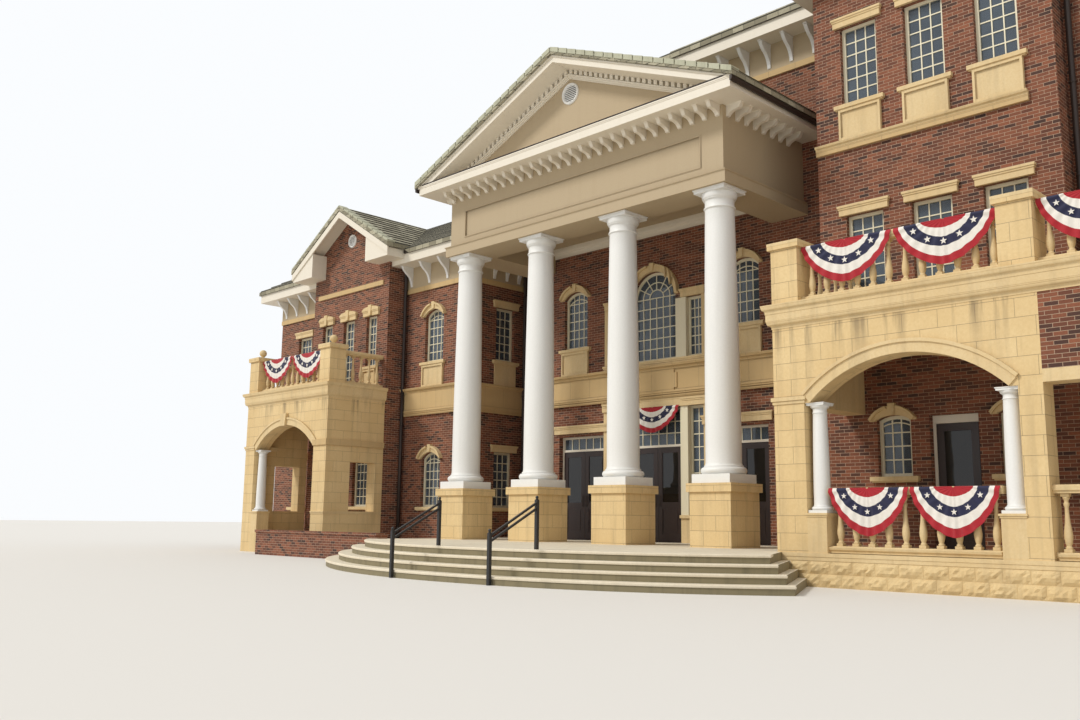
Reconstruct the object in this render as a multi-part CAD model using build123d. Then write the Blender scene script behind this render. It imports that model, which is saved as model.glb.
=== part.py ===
"""Town hall with a four-column portico, a gabled bay with a stone porch on the left, a taller
pavilion behind an arcaded stone porch on the right, and curved steps in front.

Millimetres, +Z up. The origin is on the ground, below the middle of the line of the columns.
+X runs to the right along the front and +Y runs back into the building. Heights below count from
the portico floor, and every piece is raised to the ground's level when it is written.
"""

from build123d import *
import math
import os

# Levels
RISER = 147.0
RISERS = 4
GROUND = -RISER * RISERS
SECOND_FLOOR = 4540.0
THIRD_FLOOR = 8540.0
FLOOR_THICK = 240.0

# Portico columns
BAY = 2800.0
DIE_HALF = 518.0
DIE_HEIGHT = 1142.0
CAP_HALF = 571.0
CAP_HEIGHT = 182.0
PLINTH_HALF = 482.0
PLINTH_HEIGHT = 190.0
COLUMN_TOP = 7734.0
FOOT_RADIUS = 380.0
NECK_RADIUS = 322.0
ABACUS_HALF = 403.0
SHAFT_FACETS = 16

# Portico top
BEAM_HALF = 500.0
ARCHITRAVE_HEIGHT = 260.0
FRIEZE_SETBACK = 100.0
SOFFIT = 9520.0
FASCIA_HEIGHT = 252.0
CORNICE_OVERHANG = 660.0
PORTICO_CEILING = 8400.0
CEILING_THICK = 120.0
PORTICO_PITCH = 0.42
TILE_THICK = 120.0
TILE_EDGE = 90.0
RAKE_HEIGHT = 190.0
RIDGE_JOINT = 0.15
VENT_RADIUS = 225.0

# Plan of the building, outer wall faces
WALL = 360.0
CENTRE_FRONT = 2856.0
CENTRE_LEFT = -4760.0
LINK_FRONT = 3920.0
WING_FRONT = 1568.0
WING_RIGHT = -6104.0
BAY_RIGHT = -9240.0
BAY_LEFT = -13600.0
BAY_FRONT = 868.0
WING_LEFT = -16970.0
WING_BACK = 6440.0
PAVILION_LEFT = 5990.0
PAVILION_RIGHT = 10890.0
PAVILION_FRONT = 1120.0
RIGHT_FRONT = 1680.0
RIGHT_END = 16970.0
MAIN_BACK = 8960.0

# Roofs
EAVE_OVERHANG = 680.0
ROOF_PITCH = 0.61
WING_EAVE = 8960.0
MAIN_EAVE = 12740.0
ROOF_THICK = 130.0
RIDGE_CAP = 60.0
RIDGE_HALF = 110.0
EAVE_BOX = 420.0
RAKE_OVERHANG = 620.0
EAVE_RETURN = 600.0

# Steps
TREAD = 300.0
WIDE_ARC = 10742.0
WIDE_ARC_X = 2157.0
WIDE_ARC_Y = 5482.0
CLOSE_ARC = 6285.0
ARCS_MEET = math.radians(11.07)
STEP_TURN = math.radians(2.5)
STEP_SWEEP = math.radians(55)
STEPS_END = 6520.0
END_LEAN = math.radians(27)
END_TREAD = 150.0

# Porches
RIGHT_PORCH_LEFT = 6440.0
RIGHT_PORCH_FRONT = -1540.0
LEFT_PORCH_FRONT = -1204.0
LEFT_PORCH_LEFT = -14084.0
PORCH_WALL = 430.0
PIER_WIDTH = 560.0
END_PIER = 728.0
ARCH_SPRING = 2680.0
ARCH_RISE = 720.0
ARCH_TURN = math.radians(12)
BALCONY_TOP = 4560.0
BALCONY_THICK = 300.0
LEDGE = 90.0
RIGHT_PORCH_RIGHT = 14840.0
RIGHT_ARCH_MIDDLE = 8950.0
RIGHT_ARCH_HALF = 1750.0
LEFT_ARCH_HALF = 1720.0
SIDE_HOLE_FRONT = -340.0
SIDE_HOLE_BACK = 590.0
SIDE_HOLE_SILL = 720.0
SIDE_HOLE_HEAD = 2210.0
MIDDLE_PIER_RIGHT = 11200.0
LINTEL_BOTTOM = 2700.0
LINTEL_HEIGHT = 200.0
PORCH_COLUMN_RADIUS = 150.0
COLUMN_IN = 60.0
PEDESTAL_HALF = 190.0
PEDESTAL_TOP = 703.0

# Doors and windows
LEAF_HEIGHT = 2435.0
LEAF_WIDTH = 800.0
LEAF_THICK = 46.0
LEAF_GAP = 8.0
PIVOT_IN = 12.0
PIVOT_BACK = 8.0
PIVOT_RADIUS = 8.0
PIVOT_PLAY = 0.3
PIVOT_FACETS = 8
LEAF_STILE = 130.0
LEAF_LIGHT = 1000.0
FRAME = 60.0
FRAME_DEPTH = 120.0
DOOR_SET = 150.0
TRANSOM_TOP = 2860.0
SIDE_DOOR_X = 2600.0
MIDDLE_HEAD = 3460.0
SIDELIGHT_WIDTH = 500.0
SIDELIGHT_POST = 230.0
SIDELIGHT_SILL = 690.0
SASH = 70.0
SASH_DEPTH = 90.0
SASH_SET = 110.0
PANE = 12.0
WINDOW_WIDTH = 900.0
UPPER_SILL = 5360.0
UPPER_SPRING = 6840.0
LOWER_SILL = 880.0
LOWER_SPRING = 2360.0
WINDOW_RISE = 190.0
THIRD_SILL = 9330.0
THIRD_HEAD = 11100.0

# Trim
BELT_BOTTOM = 3720.0
BELT_TOP = 4570.0
BELT_OUT = 60.0
TABLET_HALF = 820.0
TABLET_MARGIN = 140.0
TABLET_NOTCH = 90.0
TABLET_OUT = 30.0
LEDGE_BOTTOM = 8330.0
LEDGE_TOP = 8530.0
LEDGE_END = 10388.0
BAY_BAND = 7980.0
STRING_HEIGHT = 180.0
HOOD_HEIGHT = 170.0
SILL_HEIGHT = 110.0
KEY_HALF = 75.0
KEY_RISE = 60.0
SIDE_HEAD_BOTTOM = 2940.0
SIDE_HEAD_TOP = 3160.0
BAY_VENT_RADIUS = 170.0
BAY_VENT_HEIGHT = 9790.0
TRIM_OUT = 70.0
BAND_HEIGHT = 150.0
BAND_OUT = 50.0
BALUSTER = 120.0
BALUSTER_PITCH = 300.0
RAIL_HEIGHT = 130.0
RAIL_WIDTH = 260.0
BALCONY_RAIL_TOP = 5640.0
PORCH_RAIL_TOP = 1140.0
GUTTER = 120.0
PIPE_RADIUS = 55.0
BRACKET_DEPTH = 470.0
BRACKET_HEIGHT = 640.0
BRACKET_WIDTH = 110.0
FRIEZE_FOOT = 60.0
HANDRAILS = (980.0, 3690.0)
HANDRAIL_HEIGHT = 875.0
HANDRAIL_POST = 60.0
HANDRAIL_BAR = 36.0
HANDRAIL_BACK = 150.0
HANDRAIL_AHEAD = 60.0
HANDRAIL_DROPS = (50.0, 150.0)
LOW_WALL_LEFT = -11200.0
LOW_WALL_RIGHT = -5000.0
LOW_WALL_FRONT = -2265.0
LOW_WALL_THICK = 330.0
LOW_WALL_TOP = 140.0
LOW_WALL_CAP = 80.0
BUNTING_THICK = 40.0
BUNTING_GAP = 0.3
BUNTING_LAP = 100.0
DOOR_FAN = 1060.0


def box(x0, x1, y0, y1, z0, z1):
    """Box between two opposite corners."""
    middle = ((x0 + x1) / 2, (y0 + y1) / 2, (z0 + z1) / 2)
    return Pos(*middle) * Box(x1 - x0, y1 - y0, z1 - z0)


def prism(points, plane, start, length):
    """Polygon drawn on a plane, pushed along the plane's normal from start by length."""
    face = make_face(Polyline(*points, close=True))
    return extrude(plane.offset(start) * face, amount=length)


def outline(width, sill, spring, rise, inset=0.0, turn_step=ARCH_TURN):
    """Face of an opening about x = 0: a rectangle, with a segmental arch where rise is given."""
    half = width / 2 - inset
    if rise <= 0:
        return make_face(
            Polyline(
                (-half, sill + inset), (half, sill + inset), (half, spring - inset),
                (-half, spring - inset), close=True,
            )
        )
    radius = (width * width / 4 + rise * rise) / (2 * rise)
    centre = spring + rise - radius
    inner = radius - inset
    turn = math.asin(min(1.0, half / inner))
    count = 2 * math.ceil(turn / turn_step)
    angles = [turn * (1 - 2 * place / count) for place in range(count + 1)]
    arch = [(inner * math.sin(angle), centre + inner * math.cos(angle)) for angle in angles]
    return make_face(Polyline((-half, sill + inset), (half, sill + inset), *arch, close=True))


class Opening:
    """A window or doorway: where it stands along its wall and its outline."""

    def __init__(self, at, width, sill, spring, rise=0.0, glazed=True):
        self.at = at
        self.width = width
        self.sill = sill
        self.spring = spring
        self.rise = rise
        self.glazed = glazed

    def slab(self, wall, inset, depth_from, depth_to):
        """Solid with this outline between two depths behind the wall's outer face."""
        face = outline(self.width, self.sill, self.spring, self.rise, inset)
        return wall.place(face, self.at, depth_from, depth_to)


class Wall:
    """A straight wall: outer face position, the way it faces and its extent."""

    def __init__(self, facing, face, start, end, openings=()):
        self.facing = facing
        self.face = face
        self.start = start
        self.end = end
        self.openings = list(openings)

    def place(self, shape, at, depth_from, depth_to):
        """Face drawn as (along, up), pushed between two depths behind the outer face."""
        along_y = self.facing in ("left", "right")
        plane = Plane.YZ if along_y else Plane.XZ
        shift = Pos(0, at, 0) if along_y else Pos(at, 0, 0)
        inward = {"front": 1, "back": -1, "left": 1, "right": -1}[self.facing]
        low = self.face + inward * depth_from
        high = self.face + inward * depth_to
        normal = plane.z_dir.X + plane.z_dir.Y
        solid = extrude(plane * shape, amount=(high - low) * normal)
        move = Pos(low, 0, 0) if along_y else Pos(0, low, 0)
        return move * shift * solid

    def panel(self, bottom, top, depth_from=0.0, depth_to=WALL, start=None, end=None):
        """Plain slab of this wall."""
        low = self.start if start is None else start
        high = self.end if end is None else end
        face = make_face(Polyline((low, bottom), (high, bottom), (high, top), (low, top), close=True))
        return self.place(face, 0, depth_from, depth_to)

    def solid(self, bottom, top):
        """Slab with its openings cut through."""
        body = self.panel(bottom, top)
        for hole in self.openings:
            body -= hole.slab(self, 0, -WALL, 2 * WALL)
        return body

    def sashes(self):
        """Frame rings of the glazed openings."""
        rings = []
        for hole in self.openings:
            if hole.glazed:
                ring = hole.slab(self, 0, SASH_SET, SASH_SET + SASH_DEPTH)
                ring -= hole.slab(self, SASH, 0, 2 * SASH_SET + SASH_DEPTH)
                rings.append(ring)
        return rings

    def panes(self):
        """Glass of the glazed openings, in the middle of the frames."""
        middle = SASH_SET + SASH_DEPTH / 2
        return [
            hole.slab(self, SASH, middle - PANE / 2, middle + PANE / 2)
            for hole in self.openings
            if hole.glazed
        ]


def window(at, level="upper", width=WINDOW_WIDTH, rise=WINDOW_RISE):
    """One of the usual windows of a storey."""
    sill, spring = {
        "upper": (UPPER_SILL, UPPER_SPRING),
        "lower": (LOWER_SILL, LOWER_SPRING),
        "third": (THIRD_SILL, THIRD_HEAD - rise),
    }[level]
    return Opening(at, width, sill, spring, rise)


def flat_window(at, level, width=WINDOW_WIDTH):
    """Window with a flat head, as high as the arched ones of its storey."""
    arched = window(at, level)
    return Opening(at, width, arched.sill, arched.spring + arched.rise)


def drum(low_radius, high_radius, bottom, top):
    """Length of a column shaft with flat facets."""
    narrowing = (low_radius - high_radius) * math.cos(math.pi / SHAFT_FACETS)
    taper = math.degrees(math.atan2(narrowing, top - bottom))
    return extrude(Pos(0, 0, bottom) * RegularPolygon(low_radius, SHAFT_FACETS), top - bottom, taper=taper)


def rounded(radius, length, facets=SHAFT_FACETS):
    """Upright round bar made of flat facets, its middle at the origin."""
    return extrude(Pos(0, 0, -length / 2) * RegularPolygon(radius, facets), length)


def column(x, y, bottom, top, foot_radius, neck_radius, plinth_half, plinth_height, cap_half):
    """Round column: square plinth, base rings, a shaft that tapers from its third, neck and cap."""
    ring = foot_radius * 0.16
    cap_height = cap_half * 0.3
    foot = bottom + plinth_height
    shaft_bottom = foot + 2 * ring
    shaft_top = top - 2 * cap_height
    third = shaft_bottom + (shaft_top - shaft_bottom) / 3
    made = box(-plinth_half, plinth_half, -plinth_half, plinth_half, bottom, foot)
    made += drum(foot_radius + ring, foot_radius + ring, foot, shaft_bottom)
    made += drum(foot_radius, foot_radius, shaft_bottom, third)
    made += drum(foot_radius, neck_radius, third, shaft_top)
    made += drum(neck_radius, cap_half - 4, shaft_top, top - cap_height)
    made += box(-cap_half, cap_half, -cap_half, cap_half, top - cap_height, top)
    return Pos(x, y, 0) * made


def column_places():
    """Where the portico columns stand along the front."""
    return [BAY * (place - 1.5) for place in range(4)]


def pedestals():
    """Four stone pedestals with a moulded cap."""
    made = []
    for x in column_places():
        die = box(x - DIE_HALF, x + DIE_HALF, -DIE_HALF, DIE_HALF, 0, DIE_HEIGHT)
        cap = box(x - CAP_HALF, x + CAP_HALF, -CAP_HALF, CAP_HALF, DIE_HEIGHT, DIE_HEIGHT + CAP_HEIGHT)
        made.append(die + cap)
    return made


def columns():
    """Four tall portico columns."""
    foot = DIE_HEIGHT + CAP_HEIGHT
    return [
        column(x, 0, foot, COLUMN_TOP, FOOT_RADIUS, NECK_RADIUS, PLINTH_HALF, PLINTH_HEIGHT, ABACUS_HALF)
        for x in column_places()
    ]


BEAM_OUT = 1.5 * BAY + BEAM_HALF
BEAM_IN = 1.5 * BAY - BEAM_HALF
FRIEZE_OUT = BEAM_OUT - FRIEZE_SETBACK
FRIEZE_FRONT = -BEAM_HALF + FRIEZE_SETBACK
ARCHITRAVE_TOP = COLUMN_TOP + ARCHITRAVE_HEIGHT
CORNICE_OUT = FRIEZE_OUT + CORNICE_OVERHANG
CORNICE_FRONT = FRIEZE_FRONT - CORNICE_OVERHANG
CORNICE_TOP = SOFFIT + FASCIA_HEIGHT


def entablature_front():
    """Beam over the columns: architrave, and a frieze with one long sunk panel left bare."""
    beam = box(-BEAM_OUT, BEAM_OUT, -BEAM_HALF, BEAM_HALF, COLUMN_TOP, ARCHITRAVE_TOP)
    frieze = box(-FRIEZE_OUT, FRIEZE_OUT, FRIEZE_FRONT, BEAM_HALF, ARCHITRAVE_TOP, SOFFIT)
    margin = 600.0
    panel = box(
        -FRIEZE_OUT + margin, FRIEZE_OUT - margin, FRIEZE_FRONT - 10, FRIEZE_FRONT + 30,
        ARCHITRAVE_TOP + 200, SOFFIT - 540,
    )
    return beam + frieze - panel


def entablature_sides():
    """Beams that run back from the corner columns to the wall."""
    beam = box(BEAM_IN, BEAM_OUT, BEAM_HALF, CENTRE_FRONT, COLUMN_TOP, ARCHITRAVE_TOP)
    frieze = box(BEAM_IN, FRIEZE_OUT, BEAM_HALF, CENTRE_FRONT, ARCHITRAVE_TOP, SOFFIT)
    right = beam + frieze
    return [right, mirror(right, Plane.YZ)]


def portico_ceiling():
    """Flat ceiling between the beams."""
    return box(
        -BEAM_IN, BEAM_IN, BEAM_HALF, CENTRE_FRONT, PORTICO_CEILING, PORTICO_CEILING + CEILING_THICK
    )


def cornice():
    """Level cornice: its soffit and upright face, closed over the beams."""
    return box(-CORNICE_OUT, CORNICE_OUT, CORNICE_FRONT, CENTRE_FRONT, SOFFIT, CORNICE_TOP)


def modillion(depth, width, height):
    """Curved bracket drawn against a wall at y = 0 that faces -Y, its top at z = 0."""
    points = [
        (0, 0), (0, -height), (-depth * 0.22, -height), (-depth * 0.34, -height * 0.62),
        (-depth * 0.72, -height * 0.5), (-depth, -height * 0.22), (-depth, 0),
    ]
    return prism(points, Plane.YZ, -width / 2, width)


def modillions():
    """Brackets under the level cornice, front and sides."""
    depth = CORNICE_OVERHANG * 0.62
    width = 120.0
    height = 250.0
    count = 27
    one = modillion(depth, width, height)
    made = []
    pitch = (2 * FRIEZE_OUT - 2 * width) / (count - 1)
    for place in range(count):
        x = -FRIEZE_OUT + width + pitch * place
        made.append(Pos(x, FRIEZE_FRONT, SOFFIT) * one)
    side_count = int((CENTRE_FRONT - FRIEZE_FRONT - 4 * width) / pitch)
    for place in range(side_count):
        y = FRIEZE_FRONT + 1.5 * width + pitch * place
        right = Pos(FRIEZE_OUT, y, SOFFIT) * (Rot(0, 0, 90) * one)
        made.append(right)
        made.append(mirror(right, Plane.YZ))
    return made


def rake(x):
    """Underside height of the portico roof at a distance x from its middle line."""
    return CORNICE_TOP + (CORNICE_OUT - x) * PORTICO_PITCH


def pediment_half():
    """Half the width of the pediment wall at its foot."""
    return CORNICE_OUT - RAKE_HEIGHT / PORTICO_PITCH


def pediment_wall():
    """Triangular wall of the pediment with its round vent hole."""
    top = rake(0) - RAKE_HEIGHT
    half = pediment_half()
    points = [(-half, CORNICE_TOP), (half, CORNICE_TOP), (0, top)]
    wall = prism(points, Plane.XZ, -FRIEZE_FRONT - 200, 200)
    hole = Pos(0, FRIEZE_FRONT, vent_height()) * (Rot(90, 0, 0) * rounded(VENT_RADIUS, BAY / 2))
    return wall - hole


def vent_height():
    """Height of the middle of the portico's round vent."""
    return CORNICE_TOP + (rake(0) - RAKE_HEIGHT - CORNICE_TOP) * 0.69


def round_vent(x, y, z, radius):
    """Round vent: a disc that fills its hole, with a raised rim in front."""
    disc = rounded(radius, 80)
    rim = rounded(radius + 60, 40) - rounded(radius - 30, 40)
    bridge = rounded(radius, 60) - rounded(radius - 30, 60)
    places = ((disc, y + 60), (rim, y - 20), (bridge, y + 10))
    made = [Pos(x, middle, z) * (Rot(90, 0, 0) * piece) for piece, middle in places]
    return made[0] + made[1] + made[2]


def raking_cornice():
    """Both sloping lengths of cornice in front of the pediment wall, meeting under the ridge."""
    joint = RIDGE_JOINT
    points = [
        (joint, rake(joint) - RAKE_HEIGHT), (pediment_half(), CORNICE_TOP), (CORNICE_OUT, CORNICE_TOP),
        (joint, rake(joint)),
    ]
    right = prism(points, Plane.XZ, -FRIEZE_FRONT, CORNICE_OVERHANG)
    return [right, mirror(right, Plane.YZ)]


def portico_roof():
    """Both slopes of tiles over the portico, meeting at the ridge."""
    joint = RIDGE_JOINT
    edge = CORNICE_OUT + GUTTER
    points = [
        (joint, rake(joint)), (edge, rake(edge)), (edge, rake(edge) + TILE_THICK),
        (joint, rake(joint) + TILE_THICK),
    ]
    front = TILE_EDGE - CORNICE_FRONT
    right = prism(points, Plane.XZ, -CENTRE_FRONT, CENTRE_FRONT + front)
    return [right, mirror(right, Plane.YZ)]


def step_arcs(number):
    """Middle and radius of the wide left arc and of the closer right arc in front of a tread."""
    grown = TREAD * number
    apart = WIDE_ARC - CLOSE_ARC
    x = WIDE_ARC_X + apart * math.sin(ARCS_MEET)
    y = WIDE_ARC_Y - apart * math.cos(ARCS_MEET)
    return (WIDE_ARC_X, WIDE_ARC_Y, WIDE_ARC + grown), (x, y, CLOSE_ARC + grown)


def arcs_meet(number):
    """How far along the front the two arcs of a tread run into each other."""
    return WIDE_ARC_X + (WIDE_ARC + TREAD * number) * math.sin(ARCS_MEET)


def edge_of_tread(number, x):
    """Front edge of a tread at a place along the steps; tread 0 is the landing."""
    wide, close = step_arcs(number)
    middle_x, middle_y, radius = wide if x < arcs_meet(number) else close
    return middle_y - math.sqrt(radius ** 2 - (x - middle_x) ** 2)


def arc_points(arc, start, end):
    """Points along an arc about as far apart as one facet, angles counted from the front."""
    x, y, radius = arc
    count = math.ceil((end - start) / STEP_TURN)
    angles = [start + (end - start) * place / count for place in range(count + 1)]
    return [(x + radius * math.sin(angle), y - radius * math.cos(angle)) for angle in angles]


def step_slab(number):
    """Slab under one tread, one riser thick, its front rounded by two arcs; slab 0 is the landing."""
    wide, close = step_arcs(number)
    points = arc_points(wide, -STEP_SWEEP, ARCS_MEET) + arc_points(close, ARCS_MEET, STEP_SWEEP)[1:]
    points += [(points[-1][0], MAIN_BACK), (points[0][0], MAIN_BACK)]
    return prism(points, Plane.XY, -RISER * (number + 1), RISER)


def step_zone(number):
    """The space in front of the walls that the landing and the steps may fill."""
    deep = WIDE_ARC
    lean = math.tan(END_LEAN)
    foot = STEPS_END + END_TREAD * number / math.cos(END_LEAN)
    front = [
        (LOW_WALL_RIGHT, -deep), (foot + (deep + RIGHT_PORCH_FRONT) * lean, -deep),
        (foot, RIGHT_PORCH_FRONT), (LOW_WALL_RIGHT, RIGHT_PORCH_FRONT),
    ]
    zone = prism(front, Plane.XY, GROUND, -GROUND)
    zone += box(LOW_WALL_RIGHT - BAY, LOW_WALL_RIGHT, -deep, LOW_WALL_FRONT, GROUND, 0)
    zone += box(LOW_WALL_RIGHT, RIGHT_PORCH_LEFT, RIGHT_PORCH_FRONT, PAVILION_FRONT, GROUND, 0)
    zone += box(LOW_WALL_RIGHT, PAVILION_LEFT, PAVILION_FRONT, CENTRE_FRONT, GROUND, 0)
    zone += box(WING_RIGHT, LOW_WALL_RIGHT, WING_FRONT, LINK_FRONT, GROUND, 0)
    return zone + box(LOW_WALL_RIGHT, CENTRE_LEFT, CENTRE_FRONT, LINK_FRONT, GROUND, 0)


def landing():
    """Portico floor with its curved front edge."""
    return step(0)


def step(number):
    """One curved step, counted down from the landing, in one slab with the floor's fill."""
    return step_slab(number) & step_zone(number)


def sections():
    """Every outer wall by its node name."""
    side = SIDE_DOOR_X
    pair = LEAF_WIDTH * 2 + LEAF_GAP * 3 + FRAME * 2
    upper_middle = Opening(0, 1480, 4720, 6450, 690)
    walls = {}
    walls["centre_front_wall"] = Wall(
        "front", CENTRE_FRONT, CENTRE_LEFT, PAVILION_LEFT,
        [
            Opening(-side, pair, 0, TRANSOM_TOP, glazed=False),
            Opening(0, pair, 0, MIDDLE_HEAD, glazed=False),
            Opening(side, pair, 0, TRANSOM_TOP, glazed=False),
            Opening(-sidelight_x(), SIDELIGHT_WIDTH, SIDELIGHT_SILL, MIDDLE_HEAD),
            Opening(sidelight_x(), SIDELIGHT_WIDTH, SIDELIGHT_SILL, MIDDLE_HEAD),
            upper_middle,
            Opening(-1320, 500, 4720, 6300),
            Opening(1320, 500, 4720, 6300),
            window(-2850),
            window(2850),
        ],
    )
    walls["wing_front_wall"] = Wall(
        "front", WING_FRONT, BAY_RIGHT, WING_RIGHT, [window(-7730), window(-7730, "lower")]
    )
    walls["wing_side_wall"] = Wall(
        "right", WING_RIGHT, WING_FRONT + WALL, LINK_FRONT + WALL,
        [flat_window(3080, level, 760) for level in ("lower", "upper")],
    )
    middle = (BAY_LEFT + BAY_RIGHT) / 2
    walls["bay_front_wall"] = Wall(
        "front", BAY_FRONT, BAY_LEFT, BAY_RIGHT,
        [
            Opening(middle - 1300, 580, UPPER_SILL, 7030),
            Opening(middle + 1300, 580, UPPER_SILL, 7030),
            Opening(middle, 640, SECOND_FLOOR, 7030),
            Opening(middle - 1000, 900, LOWER_SILL, LOWER_SPRING + WINDOW_RISE),
            Opening(middle + 1000, 900, LOWER_SILL, LOWER_SPRING + WINDOW_RISE),
        ],
    )
    walls["wing_left_wall"] = Wall(
        "front", WING_FRONT, WING_LEFT, BAY_LEFT,
        [flat_window((WING_LEFT + BAY_LEFT) / 2, level) for level in ("lower", "upper")],
    )
    walls["left_end_wall"] = Wall(
        "left", WING_LEFT, WING_FRONT + WALL, WING_BACK - WALL,
        [flat_window((WING_FRONT + WING_BACK) / 2, level) for level in ("lower", "upper")],
    )
    back_places = [WING_LEFT + (CENTRE_LEFT - WING_LEFT) * part for part in (0.2, 0.5, 0.8)]
    walls["wing_back_wall"] = Wall(
        "back", WING_BACK, WING_LEFT, CENTRE_LEFT,
        [flat_window(x, level) for x in back_places for level in ("lower", "upper")],
    )
    third = [PAVILION_LEFT + (PAVILION_RIGHT - PAVILION_LEFT) * part for part in (0.21, 0.5, 0.79)]
    walls["pavilion_front_wall"] = Wall(
        "front", PAVILION_FRONT, PAVILION_LEFT, PAVILION_RIGHT,
        [Opening(x, 820, THIRD_SILL, THIRD_HEAD) for x in third]
        + [Opening(x, 820, 4700, 6900) for x in third]
        + [
            Opening(7460, 700, 1440, 2560, 90),
            Opening(8650, LEAF_WIDTH + 2 * LEAF_GAP + 2 * FRAME, 0, 2600, glazed=False),
            Opening(9840, 700, 1440, 2560, 90),
        ],
    )
    right_places = [PAVILION_RIGHT + (RIGHT_END - PAVILION_RIGHT) * part for part in (0.3, 0.75)]
    walls["right_front_wall"] = Wall(
        "front", RIGHT_FRONT, PAVILION_RIGHT, RIGHT_END,
        [flat_window(x, level) for x in right_places for level in ("lower", "upper", "third")],
    )
    depth = [RIGHT_FRONT + (MAIN_BACK - RIGHT_FRONT) * part for part in (0.3, 0.7)]
    walls["right_end_wall"] = Wall(
        "right", RIGHT_END, RIGHT_FRONT + WALL, MAIN_BACK - WALL,
        [flat_window(y, level) for y in depth for level in ("lower", "upper", "third")],
    )
    back_main = [CENTRE_LEFT + (RIGHT_END - CENTRE_LEFT) * part for part in (0.1, 0.37, 0.63, 0.9)]
    walls["main_back_wall"] = Wall(
        "back", MAIN_BACK, CENTRE_LEFT, RIGHT_END,
        [flat_window(x, level) for x in back_main for level in ("lower", "upper", "third")],
    )
    return walls


def sidelight_x():
    """Middle of a sidelight beside the middle doorway."""
    pair = LEAF_WIDTH * 2 + LEAF_GAP * 3 + FRAME * 2
    return pair / 2 + SIDELIGHT_POST + SIDELIGHT_WIDTH / 2


WALLS = sections()


def under_roof(eave):
    """Height of a wall's top under the roof, at its outer face."""
    return eave + EAVE_OVERHANG * ROOF_PITCH - ROOF_THICK


def straight(name, eave):
    """Wall under an eave, from the ground to the roof."""
    return WALLS[name].solid(GROUND, under_roof(eave))


def gabled(name, eave):
    """Wall with its gable up to the roof."""
    wall = WALLS[name]
    top = under_roof(eave)
    middle = (wall.start + wall.end) / 2
    peak = top + (wall.end - wall.start) / 2 * ROOF_PITCH
    face = make_face(Polyline((wall.start, top), (wall.end, top), (middle, peak), close=True))
    return wall.solid(GROUND, top) + wall.place(face, 0, 0, WALL)


def centre_left_wall():
    """Left wall of the middle block, open to the wing below the third floor."""
    wall = Wall("left", CENTRE_LEFT, CENTRE_FRONT + WALL, MAIN_BACK - WALL)
    body = wall.panel(GROUND, under_roof(MAIN_EAVE))
    way = wall.panel(
        GROUND - 10, THIRD_FLOOR - FLOOR_THICK, -10, WALL + 10, LINK_FRONT + WALL, WING_BACK - WALL
    )
    return body - way


def bay_side_walls():
    """Short walls between the bay's front and the wing."""
    top = under_roof(bay_eave())
    right = Wall("right", BAY_RIGHT, BAY_FRONT + WALL, WING_FRONT + WALL)
    left = Wall("left", BAY_LEFT, BAY_FRONT + WALL, WING_FRONT + WALL)
    return [right.panel(GROUND, top), left.panel(GROUND, top)]


def pavilion_side_walls():
    """Short walls between the pavilion's front and its neighbours."""
    top = under_roof(MAIN_EAVE)
    left = Wall("left", PAVILION_LEFT, PAVILION_FRONT + WALL, CENTRE_FRONT + WALL)
    right = Wall("right", PAVILION_RIGHT, PAVILION_FRONT + WALL, RIGHT_FRONT + WALL)
    return [left.panel(GROUND, top), right.panel(GROUND, top)]


def wing_front_walls():
    """Front of the wing on both sides of the bay."""
    return [straight("wing_front_wall", WING_EAVE), straight("wing_left_wall", WING_EAVE)]


def link_wall():
    """Short wall between the wing and the middle block."""
    wall = Wall("front", LINK_FRONT, WING_RIGHT, CENTRE_LEFT)
    return wall.panel(GROUND, under_roof(WING_EAVE))


def plan_low():
    """Outer corners of the two lower storeys."""
    return [
        (WING_LEFT, WING_FRONT), (BAY_LEFT, WING_FRONT), (BAY_LEFT, BAY_FRONT),
        (BAY_RIGHT, BAY_FRONT), (BAY_RIGHT, WING_FRONT), (WING_RIGHT, WING_FRONT),
        (WING_RIGHT, LINK_FRONT), (CENTRE_LEFT, LINK_FRONT), (CENTRE_LEFT, CENTRE_FRONT),
        (PAVILION_LEFT, CENTRE_FRONT), (PAVILION_LEFT, PAVILION_FRONT),
        (PAVILION_RIGHT, PAVILION_FRONT), (PAVILION_RIGHT, RIGHT_FRONT), (RIGHT_END, RIGHT_FRONT),
        (RIGHT_END, MAIN_BACK), (CENTRE_LEFT, MAIN_BACK), (CENTRE_LEFT, WING_BACK),
        (WING_LEFT, WING_BACK),
    ]


def plan_high():
    """Outer corners of the third storey."""
    return [
        (CENTRE_LEFT, CENTRE_FRONT), (PAVILION_LEFT, CENTRE_FRONT),
        (PAVILION_LEFT, PAVILION_FRONT), (PAVILION_RIGHT, PAVILION_FRONT),
        (PAVILION_RIGHT, RIGHT_FRONT), (RIGHT_END, RIGHT_FRONT), (RIGHT_END, MAIN_BACK),
        (CENTRE_LEFT, MAIN_BACK),
    ]


def floor(corners, top):
    """Floor slab inside the walls."""
    face = offset(make_face(Polyline(*corners, close=True)), amount=-WALL, kind=Kind.INTERSECTION)
    return Pos(0, 0, top - FLOOR_THICK) * extrude(face, amount=FLOOR_THICK)


def slopes(low, high, eave, drop):
    """Cross-section under a roof with two slopes, lowered by drop and run down deep."""
    spread = 400.0 if drop else 0.0
    low -= spread
    high += spread
    eave -= spread * ROOF_PITCH + drop
    middle = (low + high) / 2
    peak = eave + (high - low) / 2 * ROOF_PITCH
    return [(low, eave), (middle, peak), (high, eave), (high, -BAY), (low, -BAY)]


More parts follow.
